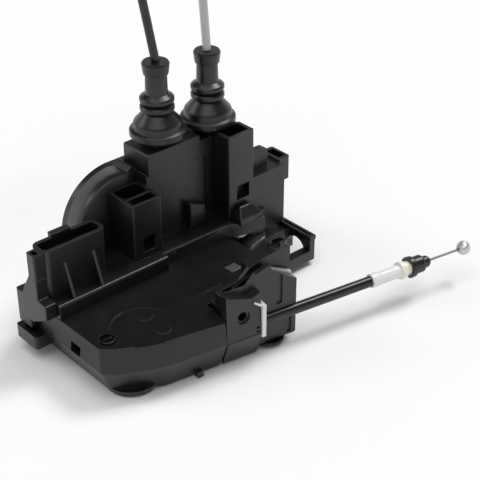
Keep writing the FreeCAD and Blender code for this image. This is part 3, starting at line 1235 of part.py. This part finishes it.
cable_gap = 0.25
inside_cable_top = inside_boot_base + s.boot_height
lock_cable_top = lock_boot_base + s.boot_height
inside_route = [
    (78.0, 54.0, inside_cable_top + cable_gap), (74.0, 57.5, 149.0), (71.0, 66.0, 184.0),
    (76.0, 81.0, 214.0), (92.0, 102.0, 234.0), (115.0, 125.0, 240.0), (137.0, 149.0, 230.0),
    (153.0, 168.0, 208.0), (162.0, 179.0, 178.0),
]
lock_route = [
    (108.0, 54.0, lock_cable_top + cable_gap), (107.0, 56.0, 146.0), (110.0, 62.5, 180.0),
    (121.0, 76.0, 207.0), (140.0, 95.0, 221.0), (162.0, 116.0, 221.0), (181.0, 135.0, 207.0),
    (194.0, 150.0, 182.0), (200.0, 158.0, 152.0),
]
cord_tube("inside_cable", inside_route, s.cord_radius)
cable_end("inside_cable", inside_route)
cord_tube("lock_cable", lock_route, s.cord_radius)
cable_end("lock_cable", lock_route)


# Puts the origin under the middle of the object without its free cables, checks and writes

doc.recompute()
bounds = FreeCAD.BoundBox()
for label, piece in nodes.items():
    if label not in cord_nodes:
        bounds.add(piece.Shape.BoundBox)
origin = at(bounds.Center.x, bounds.Center.y, 0)
for piece in nodes.values():
    piece.Placement.Base = piece.Placement.Base - origin
doc.recompute()
for thing in doc.Objects:
    if any(mark in thing.State for mark in ("Invalid", "Error")):
        raise RuntimeError(f"{thing.Name} did not build")
for label, piece in nodes.items():
    if piece.Shape.isNull() or not piece.Shape.isValid() or not piece.Shape.Solids:
        raise RuntimeError(f"{label} has no valid solid")
print("origin", round(origin.x, 3), round(origin.y, 3), "nodes", len(nodes))
os.makedirs("parts", exist_ok=True)
for label, piece in nodes.items():
    piece.Shape.exportStep(f"parts/{label}.step")
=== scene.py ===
import bmesh
import bpy
import math
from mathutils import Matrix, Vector


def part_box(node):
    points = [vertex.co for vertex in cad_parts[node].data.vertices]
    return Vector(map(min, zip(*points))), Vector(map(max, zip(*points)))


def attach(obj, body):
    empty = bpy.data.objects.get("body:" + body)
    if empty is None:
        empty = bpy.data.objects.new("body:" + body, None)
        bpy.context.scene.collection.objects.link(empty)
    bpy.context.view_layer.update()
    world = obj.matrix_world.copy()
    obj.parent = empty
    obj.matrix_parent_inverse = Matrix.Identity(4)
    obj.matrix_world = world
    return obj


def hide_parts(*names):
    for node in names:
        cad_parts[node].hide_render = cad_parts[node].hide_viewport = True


# Car door latch with its lock drive, on a pale studio floor. Lengths are metres in the CAD frame.

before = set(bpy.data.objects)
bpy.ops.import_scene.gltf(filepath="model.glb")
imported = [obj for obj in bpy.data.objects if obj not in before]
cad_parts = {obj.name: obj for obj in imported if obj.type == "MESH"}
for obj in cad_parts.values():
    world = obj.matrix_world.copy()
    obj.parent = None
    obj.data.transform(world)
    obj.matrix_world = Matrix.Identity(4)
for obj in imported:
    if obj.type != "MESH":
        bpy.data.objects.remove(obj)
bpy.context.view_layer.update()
MM = 0.001
ORIGIN = Vector((92.399, 18.755, 0.0))  # the frame's origin in the drawing
BLOCK_X, BLOCK_Y, BLOCK_TURN = 56.0, -18.7, -10.4  # the right block's corner and its turn
CABLE_HEIGHT = 16.2  # of the outside cable over the faceplate
PHOTO_SIZE = 480
FOCAL_PIXELS = 1197.0


def place(x, y, z):
    """A point given in the drawing's millimetres, measured from the case's front left corner."""
    return (Vector((x, y, z)) - ORIGIN) * MM


def block_place(along, back, z):
    """A point on the right block, which is turned so that its cable runs out to the front."""
    turn = math.radians(BLOCK_TURN)
    return place(BLOCK_X + along * math.cos(turn) - back * math.sin(turn),
                 BLOCK_Y + along * math.sin(turn) + back * math.cos(turn), z)


# Colours and materials

def linear(hex_colour):
    """Turns an sRGB hex colour into linear light."""
    channels = [int(hex_colour[i:i + 2], 16) / 255 for i in (1, 3, 5)]
    return tuple(c / 12.92 if c <= 0.04045 else ((c + 0.055) / 1.055) ** 2.4
                 for c in channels) + (1.0,)


def add(tree, kind, settings=(), links=()):
    """Adds a node with its settings, and links its inputs to other nodes' outputs."""
    made = tree.nodes.new(kind)
    for name, value in dict(settings).items():
        if name in made.inputs:
            made.inputs[name].default_value = value
        else:
            setattr(made, name, value)
    for name, (source, output) in dict(links).items():
        tree.links.new(source.outputs[output], made.inputs[name])
    return made


def surface(name, colour, roughness, grain_mm, grain_height, metallic=0.0, ior=1.5,
            shade=0.25, smear_mm=9.0, spread=0.10, edge_mm=0.3, edge_highlight_and_wear=None):
    """Moulded or machined finish: colour and gloss that drift a little, fine grain, eased edges.

    edge_highlight_and_wear is the colour painted in patches on the edges: a painted
    highlight, partly standing for wear where handling has polished or bared them.
    """
    material = bpy.data.materials.new(name)
    material.use_nodes = True
    tree = material.node_tree
    shader = tree.nodes["Principled BSDF"]
    shader.inputs["Metallic"].default_value = metallic
    if not metallic:
        shader.inputs["IOR"].default_value = ior
    where = add(tree, "ShaderNodeTexCoord")
    drift = add(tree, "ShaderNodeTexNoise", {"Scale": 1 / (smear_mm * MM), "Detail": 4.0},
                {"Vector": (where, "Object")})
    dark = tuple(c * (1 - shade) for c in linear(colour)[:3]) + (1.0,)
    tint = add(tree, "ShaderNodeMix", {"data_type": "RGBA"}, {"Factor": (drift, "Fac")})
    tint.inputs["A"].default_value = dark
    tint.inputs["B"].default_value = linear(colour)
    tint.name = "tint"
    skin = (tint, "Result")
    eased = add(tree, "ShaderNodeBevel", {"samples": 4, "Radius": edge_mm * MM})
    # Painted edge highlight: a lighter colour painted in patches where the eased normal turns away
    # from the flat face, partly standing for wear
    if edge_highlight_and_wear:
        flat = add(tree, "ShaderNodeNewGeometry")
        turn = add(tree, "ShaderNodeVectorMath", {"operation": "DOT_PRODUCT"},
                   {0: (eased, "Normal"), 1: (flat, "True Normal")})
        worn_and_lit_edge = add(tree, "ShaderNodeMapRange", {"From Min": 0.985, "From Max": 0.86},
                   {"Value": (turn, "Value")})
        patch = add(tree, "ShaderNodeMath", {"operation": "MULTIPLY"},
                    {0: (worn_and_lit_edge, "Result"), 1: (drift, "Fac")})
        mixed = add(tree, "ShaderNodeMix", {"data_type": "RGBA"}, {"Factor": (patch, "Value")})
        mixed.inputs["B"].default_value = linear(edge_highlight_and_wear)
        tree.links.new(tint.outputs["Result"], mixed.inputs["A"])
        skin = (mixed, "Result")
    tree.links.new(skin[0].outputs[skin[1]], shader.inputs["Base Color"])
    gloss = add(tree, "ShaderNodeMapRange", {"To Min": roughness - spread / 2,
                                             "To Max": roughness + spread / 2},
                {"Value": (drift, "Fac")})
    tree.links.new(gloss.outputs["Result"], shader.inputs["Roughness"])
    grain = add(tree, "ShaderNodeTexNoise", {"Scale": 1 / (grain_mm * MM), "Detail": 2.0},
                {"Vector": (where, "Object")})
    bump = add(tree, "ShaderNodeBump", {"Strength": grain_height, "Distance": 0.05 * MM},
               {"Height": (grain, "Fac"), "Normal": (eased, "Normal")})
    tree.links.new(bump.outputs["Normal"], shader.inputs["Normal"])
    return material


def second_colour(material, colour, here, onward, blend_mm):
    """Gives the part of a piece that lies past a point a colour of its own."""
    tree = material.node_tree
    shader = tree.nodes["Principled BSDF"]
    first = shader.inputs["Base Color"].links[0].from_socket
    where = add(tree, "ShaderNodeTexCoord")
    away = add(tree, "ShaderNodeVectorMath", {"operation": "SUBTRACT"}, {0: (where, "Object")})
    away.inputs[1].default_value = here
    reach = add(tree, "ShaderNodeVectorMath", {"operation": "DOT_PRODUCT"}, {0: (away, "Vector")})
    reach.inputs[1].default_value = onward
    share = add(tree, "ShaderNodeMapRange", {"From Min": 0.0, "From Max": blend_mm * MM},
                {"Value": (reach, "Value")})
    both = add(tree, "ShaderNodeMix", {"data_type": "RGBA"}, {"Factor": (share, "Result")})
    both.inputs["B"].default_value = linear(colour)
    tree.links.new(first, both.inputs["A"])
    tree.links.new(both.outputs["Result"], shader.inputs["Base Color"])
    return material


def stranded(name, colour, strand_mm):
    """Twisted steel strands: slanted grooves across the wire."""
    material = surface(name, colour, 0.32, 0.3, 0.05, metallic=1.0, shade=0.35, smear_mm=3.0,
                       edge_mm=0.05)
    tree = material.node_tree
    shader = tree.nodes["Principled BSDF"]
    where = add(tree, "ShaderNodeTexCoord")
    lay = add(tree, "ShaderNodeTexWave", {"Scale": 1 / (6 * strand_mm * MM), "Distortion": 0.3,
                                          "bands_direction": "DIAGONAL"},
              {"Vector": (where, "Object")})
    twist = add(tree, "ShaderNodeBump", {"Strength": 0.5, "Distance": 0.15 * MM},
                {"Height": (lay, "Fac")})
    tree.links.new(twist.outputs["Normal"], shader.inputs["Normal"])
    return material


CABLE_LINE = (block_place(1, 0, 0) - block_place(0, 0, 0)).normalized()

# Glass-filled polyamide, injection moulded: black satin, with grain drawn coarser than the real
# tenth of a millimetre so that it shows, and grey painted in patches on its edges as a painted
# highlight, partly standing for handling wear
polyamide_black = surface("polyamide_moulded_black", "#101012", 0.36, 0.45, 0.30, ior=1.55,
                          edge_mm=0.35, edge_highlight_and_wear="#4c4e51")
# Acetal cover, moulded smoother: black with broader, softer highlights, and grey painted in
# patches on its edges as a painted highlight, partly handling wear
acetal_black = surface("acetal_moulded_black", "#0f0f10", 0.33, 0.7, 0.22, ior=1.48,
                       edge_mm=0.35, edge_highlight_and_wear="#4a4b4e")
# EPDM rubber, compression moulded: deep black with a soft sheen on its folds
epdm_black = surface("epdm_moulded_black", "#141416", 0.34, 0.5, 0.18, ior=1.52, smear_mm=6.0,
                     edge_mm=0.2)
# Polypropylene cable sheath, extruded: smooth black
sheath_black = surface("polypropylene_extruded_black", "#151517", 0.30, 1.5, 0.10, edge_mm=0.1)
# Polypropylene cable sheath, extruded: smooth light grey
sheath_grey = surface("polypropylene_extruded_grey", "#b1b3b6", 0.40, 1.5, 0.10, shade=0.08,
                      edge_mm=0.1)
# White acetal of the anchor plate, moulded: bright and nearly matt
acetal_white = surface("acetal_moulded_white", "#dededc", 0.45, 0.6, 0.15, shade=0.06)
# Natural acetal of the cable ferrule: milky white, with a collar in a warmer white past its groove
ferrule_milky = second_colour(
    surface("acetal_moulded_milky", "#e3e4e3", 0.32, 0.6, 0.12, shade=0.08),
    "#e9e6d6", block_place(94.0, 0, CABLE_HEIGHT), CABLE_LINE, 0.2)
# Natural acetal of gear and lever: ivory, slightly waxy
acetal_natural = surface("acetal_moulded_natural", "#d9d5c6", 0.40, 0.6, 0.1, shade=0.08)
# Zinc-plated pressed steel: pale grey with a faint mottle
steel_zinc = surface("steel_zinc_plated", "#b9bbbd", 0.33, 0.35, 0.2, metallic=1.0, shade=0.18,
                     smear_mm=4.0)
# Black-passivated steel of the screws: nearly black, with light grey painted on the corners of
# the recess as a painted highlight
steel_black = surface("steel_zinc_black", "#303134", 0.34, 0.35, 0.15, metallic=1.0,
                      smear_mm=2.0, edge_mm=0.15, edge_highlight_and_wear="#a9abad")
# Hardened and phosphated steel of claw and pawl: dark grey, with lighter grey painted in patches
# on its edges, partly bared wear and partly painted highlight
steel_hardened = surface("steel_hardened_dark", "#5d5e60", 0.38, 0.3, 0.25, metallic=1.0,
                         edge_highlight_and_wear="#a5a6a8")
# Phosphated steel of the outside release lever: dark, with its far tip painted bright as a
# painted highlight
steel_lever_tip_highlight = second_colour(
    surface("steel_phosphated_painted_tip_highlight", "#2b2c2e", 0.42, 0.4, 0.2, metallic=1.0),
    "#c4c5c6", block_place(22.0, 4.0, 40.0), CABLE_LINE, 3.0)
# Drawn spring steel, oiled
steel_spring = surface("steel_spring_drawn", "#8b8c8e", 0.28, 0.8, 0.1, metallic=1.0, edge_mm=0.1)
# Tinned copper blades of the connector
tin_contact = surface("copper_tinned", "#c9c8c2", 0.30, 0.5, 0.1, metallic=1.0, edge_mm=0.1)
# Free-cutting brass of the worm
brass_turned = surface("brass_turned", "#b8954a", 0.26, 0.4, 0.1, metallic=1.0, edge_mm=0.1)
# Galvanised pull wire, stranded
wire_galvanised = stranded("wire_galvanised_stranded", "#a9aaac", 0.25)
# Die-cast zinc ball on the stranded wire: smooth and light grey past the wire's end
wire_and_ball = second_colour(stranded("wire_and_die_cast_ball", "#97989a", 0.25), "#c9cacb",
                              block_place(130.6, 0, CABLE_HEIGHT), CABLE_LINE, 0.2)

FINISHES = {
    "faceplate": steel_zinc, "latch_housing": polyamide_black, "fork_bolt": steel_hardened,
    "pawl": steel_hardened, "claw_rivet": steel_zinc, "pawl_rivet": steel_zinc,
    "back_plate": steel_zinc, "latch_cover": acetal_black, "cover_insert": steel_zinc,
    "actuator_housing": polyamide_black, "actuator_rear_cover": polyamide_black,
    "connector_receptacle": polyamide_black, "connector_terminals": tin_contact,
    "cable_box": polyamide_black, "inside_cable_boot": epdm_black, "lock_cable_boot": epdm_black,
    "inside_release_lever": steel_zinc, "lock_lever": acetal_natural,
    "inside_lever_pin": steel_hardened, "lock_lever_pin": steel_hardened,
    "inside_cable_wire": wire_galvanised, "lock_cable_wire": wire_galvanised,
    "worm_wheel": acetal_natural, "wheel_axle": steel_hardened, "worm": brass_turned,
    "motor_shaft": steel_hardened, "lock_motor": steel_zinc, "cover_screw": steel_black,
    "rear_cover_screws": steel_black, "outside_lever_block": polyamide_black,
    "cable_anchor_plate": acetal_white, "outside_release_lever": steel_lever_tip_highlight,
    "outside_lever_pin": steel_hardened, "block_rivet": steel_black,
    "outside_cable_sheath": sheath_black, "outside_cable_ferrule": ferrule_milky,
    "outside_cable_cap": epdm_black, "outside_pull_wire": wire_and_ball,
    "claw_spring": steel_spring, "pawl_spring": steel_spring,
    "inside_cable_end_ferrule": acetal_white, "inside_cable_end_wire": wire_galvanised,
    "lock_cable_end_ferrule": acetal_white, "lock_cable_end_wire": wire_galvanised,
}


def finish_node(name, material):
    """Gives a carried-over CAD piece its finish."""
    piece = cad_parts.get(name)
    if piece is None:
        return
    piece.data.materials.clear()
    piece.data.materials.append(material)


for piece_name, finish in FINISHES.items():
    finish_node(piece_name, finish)


# Pieces that the photograph shows in more detail than the drawing

def new_piece(name, form, material):
    """Makes an object from a finished bmesh, fixed to the latch's case."""
    bmesh.ops.recalc_face_normals(form, faces=form.faces)
    mesh = bpy.data.meshes.new(name)
    form.to_mesh(mesh)
    form.free()
    mesh.materials.append(material)
    piece = bpy.data.objects.new(name, mesh)
    bpy.context.scene.collection.objects.link(piece)
    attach(piece, "latch_case")
    return piece


def soften(piece, angle=32):
    """Shades curved faces smoothly and keeps the corners crisp."""
    mesh = piece.data
    carried = mesh.attributes.get("custom_normal")
    if carried:
        mesh.attributes.remove(carried)
    mesh.polygons.foreach_set("use_smooth", [True] * len(mesh.polygons))
    mesh.set_sharp_from_angle(angle=math.radians(angle))


def pushed_out(corners, push):
    """A flat outline pushed out to a solid."""
    form = bmesh.new()
    form.faces.new([form.verts.new(corner) for corner in corners])
    grown = bmesh.ops.extrude_face_region(form, geom=form.faces[:])
    top = [item for item in grown["geom"] if isinstance(item, bmesh.types.BMVert)]
    bmesh.ops.translate(form, verts=top, vec=push)
    return form


def ease(form, width_mm, sharper_than=40):
    """Rounds the corners of a moulding a little."""
    bmesh.ops.recalc_face_normals(form, faces=form.faces)
    hard = [edge for edge in form.edges
            if edge.calc_face_angle(0.0) > math.radians(sharper_than)]
    bmesh.ops.bevel(form, geom=hard, offset=width_mm * MM, segments=2, profile=0.5,
                    affect="EDGES", material=-1)


def block(low, high):
    """A plain block between two corners of the drawing."""
    form = bmesh.new()
    bmesh.ops.create_cube(form, size=1.0)
    a, b = place(*low), place(*high)
    bmesh.ops.scale(form, verts=form.verts, vec=b - a)
    bmesh.ops.translate(form, verts=form.verts, vec=(a + b) / 2)
    return form


def carved_copy(node_name, blocks, material):
    """Stands in for a CAD piece with some blocks taken off it."""
    form = bmesh.new()
    form.from_mesh(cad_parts[node_name].data)
    bmesh.ops.remove_doubles(form, verts=form.verts, dist=1e-6)
    piece = new_piece(node_name + "_carved", form, material)
    tools = []
    for low, high in blocks:
        mesh = bpy.data.meshes.new("carving_block")
        tool_form = block(low, high)
        tool_form.to_mesh(mesh)
        tool_form.free()
        tools.append(bpy.data.objects.new("carving_block", mesh))
        bpy.context.scene.collection.objects.link(tools[-1])
        carve = piece.modifiers.new("carve", "BOOLEAN")
        carve.operation = "DIFFERENCE"
        carve.solver = "EXACT"
        carve.object = tools[-1]
    bpy.context.view_layer.update()
    seen = piece.evaluated_get(bpy.context.evaluated_depsgraph_get())
    piece.data = bpy.data.meshes.new_from_object(seen)
    piece.modifiers.clear()
    for tool in tools:
        bpy.data.objects.remove(tool)
    soften(piece)
    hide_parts(node_name)
    return piece


# Heights and faces of the case, in the drawing's millimetres
LEDGE_FRONT = 31.2
LEDGE_TOP = 31.4
COVER_TOP = 25.0
WALL_FRONT = 44.0  # the case's upright wall
TOWER_FRONT = 33.0  # the two socket towers and the connector

# The actuator housing without its plain half dome, ramp and round boss
carved_copy("actuator_housing", [
    ((107.5, 24.0, LEDGE_TOP - 0.39), (127.0, TOWER_FRONT - 0.01, 41.0)),
    ((60.6, 17.0, COVER_TOP - 1.0), (127.0, LEDGE_FRONT - 0.2, LEDGE_TOP + 0.3)),
    ((83.0, 36.0, 31.01), (97.5, WALL_FRONT - 0.01, 47.5)),
], polyamide_black)


def ledge_sweep():
    """The ledge's front, which sweeps down on to the cover and bulges forward to the right."""
    edge_of = [(60.5, LEDGE_FRONT), (80.0, LEDGE_FRONT), (97.0, LEDGE_FRONT - 0.2),
               (101.0, 29.6), (105.0, 27.4), (111.0, 26.0), (118.6, 24.9)]
    section = [(0.9, LEDGE_TOP), (0.25, LEDGE_TOP - 0.15), (0.0, LEDGE_TOP - 0.7), (-0.2, 28.0),
               (-0.4, COVER_TOP + 0.01)]
    back = TOWER_FRONT - 0.05
    form = bmesh.new()
    rings = []
    for x, edge in edge_of:
        corners = [place(x, back, COVER_TOP + 0.01), place(x, back, LEDGE_TOP)]
        corners += [place(x, edge + away, z) for away, z in section]
        verts = [form.verts.new(corner) for corner in corners]
        rings.append((verts, [form.edges.new(pair) for pair in zip(verts, verts[1:] + verts[:1])]))
    for (_, first), (_, second) in zip(rings, rings[1:]):
        bmesh.ops.bridge_loops(form, edges=first + second)
    form.faces.new(rings[0][0])
    form.faces.new(rings[-1][0])
    soften(new_piece("ledge_sweep", form, polyamide_black), 40)


def tower_foot():
    """Hipped block at the foot of the right tower."""
    eaves, roof_height = 33.6, 4.8
    form = block((104.2, 26.2, 30.5), (118.5, TOWER_FRONT - 0.03, eaves))
    roof = [face for face in form.faces if face.normal.z > 0.9]
    grown = bmesh.ops.extrude_face_region(form, geom=roof)
    ridge = [item for item in grown["geom"] if isinstance(item, bmesh.types.BMVert)]
    bmesh.ops.delete(form, geom=roof, context="FACES_ONLY")
    middle = place(110.4, 31.6, eaves)
    bmesh.ops.translate(form, verts=ridge, vec=(0, 0, roof_height * MM))
    for vert in ridge:
        vert.co.x = middle.x + (vert.co.x - middle.x) * 0.5
        vert.co.y = middle.y + (vert.co.y - middle.y) * 0.25
    ease(form, 0.5, 20)
    new_piece("tower_foot", form, polyamide_black)


def wall_tab():
    """Flat tab on the case wall, with its top slanted down to the right."""
    outline = [(84.5, 31.05), (93.8, 31.05), (93.8, 41.2), (84.5, 44.8)]
    front = WALL_FRONT - 4.0
    form = pushed_out([place(x, front, z) for x, z in outline], (0, 3.98 * MM, 0))
    ease(form, 0.4)
    new_piece("wall_tab", form, polyamide_black)


def gear_drum():
    """The gear case's round front half, as an open shell in front of the rear cover's rim."""
    left, right, low, top = 29.3, 63.9, 32.1, 66.7
    front, depth, corner_radius, wall_thickness = 51.7, 10.6, 26.0, 1.2
    form = bmesh.new()
    corners = [form.verts.new(place(x, front, z))
               for x, z in ((left, low), (right, low), (right, top), (left, top))]
    form.faces.new(corners)
    bmesh.ops.bevel(form, geom=[corners[3]], offset=corner_radius * MM, segments=28, profile=0.5,
                    affect="VERTICES", material=-1)
    grown = bmesh.ops.extrude_face_region(form, geom=form.faces[:])
    back = [item for item in grown["geom"] if isinstance(item, bmesh.types.BMVert)]
    bmesh.ops.translate(form, verts=back, vec=(0, depth * MM, 0))
    open_back = [face for face in form.faces if all(vert in back for vert in face.verts)]
    bmesh.ops.delete(form, geom=open_back, context="FACES_ONLY")
    bmesh.ops.recalc_face_normals(form, faces=form.faces)
    rim = [edge for edge in form.edges if edge.calc_face_angle(0.0) > math.radians(60)]
    bmesh.ops.bevel(form, geom=rim, offset=0.35 * MM, segments=2, profile=0.5, affect="EDGES",
                    material=-1)
    piece = new_piece("gear_drum", form, polyamide_black)
    wall = piece.modifiers.new("wall", "SOLIDIFY")
    wall.thickness = wall_thickness * MM
    wall.offset = -1.0
    soften(piece)


def connector_apron():
    """The connector's left end, which runs down under its key box to the left block."""
    side = [(29.0, 26.0), (29.0, 33.2), (34.6, 33.8), (34.6, 44.0), (40.4, 44.0), (44.7, 37.0),
            (47.5, 31.2), (47.5, 20.0), (40.0, 20.0)]
    left, width = -5.5, 5.6
    form = pushed_out([place(left, y, z) for y, z in side], (width * MM, 0, 0))
    ease(form, 0.4)
    new_piece("connector_apron", form, polyamide_black)


ledge_sweep()
tower_foot()
wall_tab()
gear_drum()
connector_apron()


# The two free control cables, each on one smooth line led by its points, from just above the
# top of its boot

CABLE_RADIUS = 2.0
BOOT_EXIT = 0.25
INSIDE_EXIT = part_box("inside_cable_boot")[1][2] / MM + BOOT_EXIT
LOCK_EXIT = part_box("lock_cable_boot")[1][2] / MM + BOOT_EXIT
INSIDE_ROUTE = [
    (78.0, 54.0, INSIDE_EXIT), (74.0, 57.5, 149.0), (71.0, 66.0, 184.0), (76.0, 81.0, 214.0),
    (92.0, 102.0, 234.0), (115.0, 125.0, 240.0), (137.0, 149.0, 230.0), (153.0, 168.0, 208.0),
    (162.0, 179.0, 178.0),
]
LOCK_ROUTE = [
    (108.0, 54.0, LOCK_EXIT), (107.0, 56.0, 146.0), (110.0, 62.5, 180.0), (121.0, 76.0, 207.0),
    (140.0, 95.0, 221.0), (162.0, 116.0, 221.0), (181.0, 135.0, 207.0), (194.0, 150.0, 182.0),
    (200.0, 158.0, 152.0),
]


def control_cable(name, route, material):
    """A sheathed cable from its boot to its end ferrule, in place of the CAD's rigid one."""
    curve = bpy.data.curves.new(name + "_sheath", "CURVE")
    curve.dimensions = "3D"
    spline = curve.splines.new("NURBS")
    spline.points.add(len(route) - 1)
    for point, (x, y, z) in zip(spline.points, route):
        point.co = (*place(x, y, z), 1.0)
    spline.order_u = 3
    spline.use_endpoint_u = True
    spline.resolution_u = 16
    curve.bevel_depth = CABLE_RADIUS * MM
    curve.bevel_resolution = 8
    curve.use_fill_caps = True
    curve.materials.append(material)
    cable = bpy.data.objects.new(name + "_sheath", curve)
    bpy.context.scene.collection.objects.link(cable)
    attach(cable, "latch_case")
    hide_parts(name)
    return cable


control_cable("inside_cable", INSIDE_ROUTE, sheath_black)
control_cable("lock_cable", LOCK_ROUTE, sheath_grey)


# Floor, light and camera

def studio_floor():
    """A pale sheet that the camera sees as pure white, and that keeps the latch's soft shadow."""
    mesh = bpy.data.meshes.new("studio_floor")
    form = bmesh.new()
    bmesh.ops.create_grid(form, x_segments=1, y_segments=1, size=6.0)
    form.to_mesh(mesh)
    form.free()
    floor = bpy.data.objects.new("studio_floor", mesh)
    bpy.context.scene.collection.objects.link(floor)
    floor.location.z = -0.5 * MM  # so that the faceplate doesn't share its plane
    material = bpy.data.materials.new("paper_white")
    material.use_nodes = True
    shader = material.node_tree.nodes["Principled BSDF"]
    shader.inputs["Base Color"].default_value = linear("#f4f4f4")
    shader.inputs["Roughness"].default_value = 0.9
    mesh.materials.append(material)


def studio_world():
    """White paper walls up to eye level, and a dim ceiling over them."""
    world = bpy.data.worlds.new("studio_world")
    bpy.context.scene.world = world
    world.use_nodes = True
    tree = world.node_tree
    around = add(tree, "ShaderNodeTexCoord")
    height = add(tree, "ShaderNodeSeparateXYZ", links={"Vector": (around, "Generated")})
    wall = add(tree, "ShaderNodeMapRange", {"From Min": 0.24, "From Max": 0.44, "To Min": 1.0,
                                            "To Max": 0.04, "interpolation_type": "SMOOTHSTEP"},
               {"Value": (height, "Z")})
    paper = tree.nodes["Background"]
    paper.inputs["Color"].default_value = (1.0, 1.0, 1.0, 1.0)
    tree.links.new(wall.outputs["Result"], paper.inputs["Strength"])


def soft_sun(name, towards, power, width):
    """A broad studio light from far away, in the direction given."""
    lamp = bpy.data.lights.new(name, "SUN")
    lamp.energy = power
    lamp.angle = math.radians(width)
    holder = bpy.data.objects.new(name, lamp)
    bpy.context.scene.collection.objects.link(holder)
    holder.location = Vector(towards)
    holder.rotation_euler = Vector(towards).to_track_quat("Z", "Y").to_euler()


def photo_camera():
    """The photograph's own view: pitch, yaw and distance worked out from the latch's edges."""
    pitch, yaw = math.radians(31.86), math.radians(48.19)
    forward = Vector((math.cos(yaw) * math.cos(pitch), math.sin(yaw) * math.cos(pitch),
                      -math.sin(pitch)))
    data = bpy.data.cameras.new("photo_camera")
    data.sensor_width = 36.0
    data.lens = 36.0 * FOCAL_PIXELS / PHOTO_SIZE
    camera = bpy.data.objects.new("photo_camera", data)
    bpy.context.scene.collection.objects.link(camera)
    camera.location = place(-222.57, -338.44, 327.59)
    camera.rotation_euler = forward.to_track_quat("-Z", "Y").to_euler()
    bpy.context.scene.camera = camera


studio_floor()
studio_world()
# From the right and above for the fronts and the shadow, from behind on the left for the rims,
# and from straight above for the floor
soft_sun("right_light", (0.57, 0.02, 0.82), 1.45, 22)
soft_sun("left_back_light", (-0.53, 0.63, 0.57), 0.4, 22)
soft_sun("ceiling_light", (-0.15, -0.1, 1.0), 1.6, 60)
photo_camera()
bpy.context.scene.view_settings.view_transform = "Standard"
